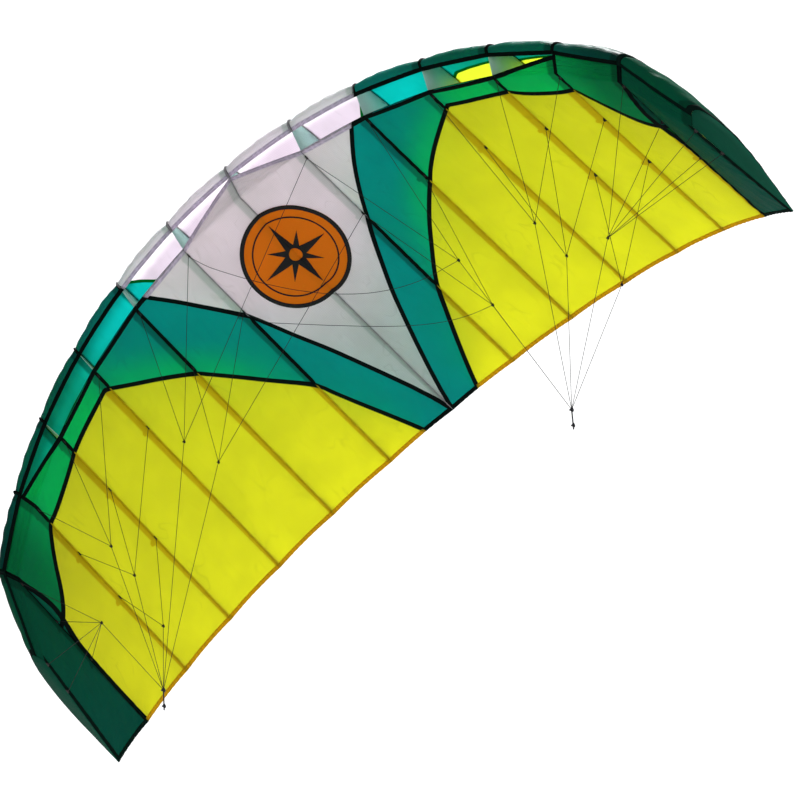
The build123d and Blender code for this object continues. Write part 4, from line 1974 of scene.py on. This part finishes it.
@dataclass(frozen=True)
class Bridle:
    """Every line, its knots and the tow leaders."""

    knot_radius: float = 0.006
    tow_radius: float = 0.0085
    shift: float = 0.0017
    declared_most: int = 40
    leader_diameter: float = 0.0045
    leader_length: float = 0.086
    leader_tail: float = 0.023
    leader_way: tuple = (0.0, -0.9929, -0.1191)
    stopper_radius: float = 0.0078

    def straight(self, start: np.ndarray, end: np.ndarray) -> tuple:
        """A taut line's route."""
        return tuple(map(tuple, (start, (start + end) / 2, end)))

    def cascade_lines(self, side: Side) -> Iterable[Line]:
        """The lines from the tabs to the cascade knots of one side.

        Args:
            side: whose knots.
        Yields:
            Each line.
        """
        for name, tabs in CASCADES.items():
            inner = name.endswith("inner")
            node = "bridle_cascades_centre" if inner else f"bridle_cascades_{side.word}_wing"
            body = "centre_section" if inner else f"{side.word}_wing"
            centre = np.array(KNOTS[side][name])
            for number, row in tabs:
                shift = self.shift if inner and number == 1 else 0.0
                start = TABS.line_end(RIBS[side][number], row, shift)
                label = f"line_{side.word}_{name}_{number}{row.name.lower()}"
                yield Line(label, node, self.straight(start, centre), (body,))
            if inner:
                far = Side.LEFT if side is Side.RIGHT else Side.RIGHT
                start = TABS.line_end(RIBS[far][1], Row.A if name == "a_inner" else Row.B, -self.shift)
                slack = side is Side.RIGHT
                route = (tuple(start), *SLACK[name], tuple(centre)) if slack else self.straight(start, centre)
                yield Line(f"line_{side.word}_{name}_crossing", node, route, (body,),
                           lay="hanging" if slack else "taut")

    def main_lines(self, side: Side) -> Iterable[Line]:
        """The lines from the cascade knots to the tow knot, and from the tip's tabs.

        Args:
            side: whose knots.
        Yields:
            Each line.
        """
        word = side.word
        tow = np.array(KNOTS[side]["tow"])
        for name in CASCADES:
            inner = name.endswith("inner")
            node = "main_lines_centre" if inner else f"main_lines_{word}_wing"
            bodies = ("centre_section",) if inner else (f"{word}_wing", "centre_section")
            yield Line(f"main_{word}_{name}", node, self.straight(np.array(KNOTS[side][name]), tow), bodies)
        for row in TAB_ROWS[7]:
            start = TABS.line_end(RIBS[side][7], row)
            route = self.straight(start, np.array(KNOTS[side]["tip"]))
            yield Line(f"line_{word}_tip_7{row.name.lower()}", f"bridle_lines_{word}_tip", route,
                       (f"{word}_tip", f"{word}_wing"))

    def knot(self, name: str, places: Sequence[Point], radius: float) -> bpy.types.Object:
        """Overhand knots, each a closed tube wound through itself.

        Args:
            name: the piece's name.
            places: where the knots are.
            radius: of each knot.
        Returns:
            One object with every knot.
        """
        data = bpy.data.curves.new(name, "CURVE")
        data.dimensions = "3D"
        steps = 30
        for place in places:
            spline = data.splines.new("NURBS")
            spline.points.add(steps - 1)
            for index, target in enumerate(spline.points):
                t = 2 * math.pi * index / steps
                x = math.sin(t) + 2 * math.sin(2 * t)
                y = math.cos(t) - 2 * math.cos(2 * t)
                z = -1.6 * math.sin(3 * t)
                reach = radius * 0.72 / 3
                target.co = (place[0] + x * reach, place[1] + z * reach, place[2] + y * reach, 1.0)
            spline.use_cyclic_u = True
            spline.order_u = 4
            spline.resolution_u = 3
        data.bevel_depth = radius * 0.28
        data.bevel_resolution = 3
        drawn = bpy.data.objects.new(name, data)
        bpy.context.scene.collection.objects.link(drawn)
        mesh = bpy.data.meshes.new_from_object(drawn.evaluated_get(bpy.context.evaluated_depsgraph_get()))
        bpy.data.objects.remove(drawn)
        return new_object(name, mesh)

    def leader(self, side: Side, finishes: Finishes) -> None:
        """Makes the sleeved leader with its stopper knot.

        Args:
            side: whose leader.
            finishes: the materials.
        """
        way = np.array(self.leader_way)
        start = np.array(KNOTS[side]["tow"]) + way * self.tow_radius
        reach = self.leader_length + self.leader_tail
        route = self.straight(start, start + way * reach)
        line = Line(f"leader_{side.word}", f"tow_leader_{side.word}", route, (f"{side.word}_leader",),
                    diameter=self.leader_diameter)
        line.build(finishes.sleeve, "leader_sleeve")
        stopper = self.knot(f"leader_stopper_{side.word}", [start + way * self.leader_length],
                            self.stopper_radius)
        dress(stopper, finishes.sleeve, "leader_sleeve")
        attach(stopper, f"{side.word}_leader")

    def build(self, finishes: Finishes) -> None:
        """Makes the whole bridle.

        Args:
            finishes: the materials.
        """
        lines = [line for side in Side for line in (*self.main_lines(side), *self.cascade_lines(side))]
        by_length = sorted(lines, key=lambda line: -line.length)
        nodes = {line.node for line in lines}
        first = [next(line for line in by_length if line.node == node) for node in nodes]
        rest = [line for line in by_length if line not in first]
        chosen = first + rest[:self.declared_most - 2 - len(first)]
        for line in lines:
            kept = line in chosen
            replace(line, declared=kept).build(finishes.line, "bridle_line")
            LOG.info("%s: %.3f m%s", line.name, line.length, "" if kept else ", not declared")
        inner = [KNOTS[side][name] for side in Side for name in ("a_inner", "b_inner")]
        centre = self.knot("knots_centre", inner, self.knot_radius)
        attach(dress(centre, finishes.line, "bridle_line"), "centre_section")
        tows = self.knot("knots_tow", [KNOTS[side]["tow"] for side in Side], self.tow_radius)
        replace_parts(dress(tows, finishes.sleeve, "leader_sleeve"), "tow_knots")
        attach(tows, "centre_section")
        for side in Side:
            outer = [KNOTS[side][name] for name in ("a_outer", "b_outer", "c_outer", "tip")]
            knots = self.knot(f"knots_{side.word}_wing", outer, self.knot_radius)
            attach(dress(knots, finishes.line, "bridle_line"), f"{side.word}_wing")
            self.leader(side, finishes)


# ---------------------------------------------------------------- the stage


@dataclass(frozen=True)
class Stage:
    """The camera, the soft light and the pale floor."""

    azimuth: float = 19.41
    elevation: float = 16.57
    roll: float = -45.165
    aim: tuple = (-0.0386, 0.0079, -0.3244)
    distance: float = 37.0
    lens: float = 522.9
    floor_gap: float = 2.6
    floor_size: float = 120.0
    sky_light: float = 0.46
    seen_sky: float = 0.54  # added where the camera sees the sky itself
    suns: tuple = (("rear_sun", (-0.22, -0.95, -0.20), 7.4, 14), ("front_fill", (-0.2, 1.0, -0.35), 0.40, 60))

    def camera(self) -> None:
        """Places the camera."""
        a, e, r = (math.radians(angle) for angle in (self.azimuth, self.elevation, self.roll))
        back = Vector((math.sin(a) * math.cos(e), -math.cos(a) * math.cos(e), math.sin(e)))
        level = Vector((math.cos(a), math.sin(a), 0))
        rise = back.cross(level)
        right = level * math.cos(r) + rise * math.sin(r)
        data = bpy.data.cameras.new("camera")
        data.lens, data.sensor_width = self.lens, 36.0
        data.clip_start, data.clip_end = 0.5, 400.0
        camera = bpy.data.objects.new("camera", data)
        bpy.context.scene.collection.objects.link(camera)
        camera.matrix_world = Matrix.Translation(Vector(self.aim) + back * self.distance) @ Matrix(
            [right, back.cross(right), back]).transposed().to_4x4()
        bpy.context.scene.camera = camera

    def light(self, name: str, direction: Point, strength: float, angle: float) -> None:
        """A wide soft sun.

        Args:
            name: the light's name.
            direction: the way it shines.
            strength: in watts per square metre.
            angle: its width in degrees.
        """
        data = bpy.data.lights.new(name, "SUN")
        data.energy = strength
        data.angle = math.radians(angle)
        lamp = bpy.data.objects.new(name, data)
        lamp.rotation_mode = "QUATERNION"
        lamp.rotation_quaternion = Vector(direction).to_track_quat("-Z", "Y")
        bpy.context.scene.collection.objects.link(lamp)

    def surroundings(self) -> None:
        """A white sky that lights softly."""
        world = bpy.data.worlds.new("sky")
        world.use_nodes = True
        n = Nodes(world.node_tree)
        seen = n.add("ShaderNodeLightPath").outputs["Is Camera Ray"]
        strength = n.maths("MULTIPLY_ADD", seen, self.seen_sky, self.sky_light)
        sky = n.add("ShaderNodeBackground", Color=(0.97, 0.98, 1.0), Strength=strength)
        n.put(n.add("ShaderNodeOutputWorld").inputs[0], sky.outputs[0])
        bpy.context.scene.world = world
        bpy.context.scene.view_settings.view_transform = "Standard"

    def floor(self) -> None:
        """A plain pale floor under the kite."""
        mesh = bmesh.new()
        bmesh.ops.create_grid(mesh, x_segments=1, y_segments=1, size=self.floor_size / 2)
        data = bpy.data.meshes.new("floor")
        mesh.to_mesh(data)
        mesh.free()
        data.transform(Matrix.Translation((0, 0, CAD_BOX[0].z - self.floor_gap)))
        floor = new_object("floor", data)
        material, n = fresh_material("pale_floor")
        paint = n.add("ShaderNodeBsdfPrincipled", Base_Color=(0.9, 0.9, 0.9), Roughness=0.9)
        paint.inputs["Emission Color"].default_value = (1.0, 1.0, 1.0, 1.0)
        paint.inputs["Emission Strength"].default_value = 0.30
        n.put(n.add("ShaderNodeOutputMaterial").inputs[0], paint.outputs[0])
        data.materials.append(material)

    def build(self) -> None:
        """Makes the stage."""
        self.camera()
        self.surroundings()
        self.floor()
        for sun in self.suns:
            self.light(*sun)


def main() -> None:
    """Builds the kite and its stage."""
    logging.basicConfig(level=logging.INFO, format="%(message)s")
    finishes = Finishes()
    cells = {side: [Cell(n, side) for n in range(1, PLAN.last_rib + 1)] for side in Side}
    for side in Side:
        Skins().build(cells[side], finishes)
    Ribs().build(finishes)
    Bindings().build(cells, finishes)
    Patch().build(finishes)
    TABS.build(finishes)
    Bridle().build(finishes)
    Stage().build()


if __name__ == "__main__":
    main()
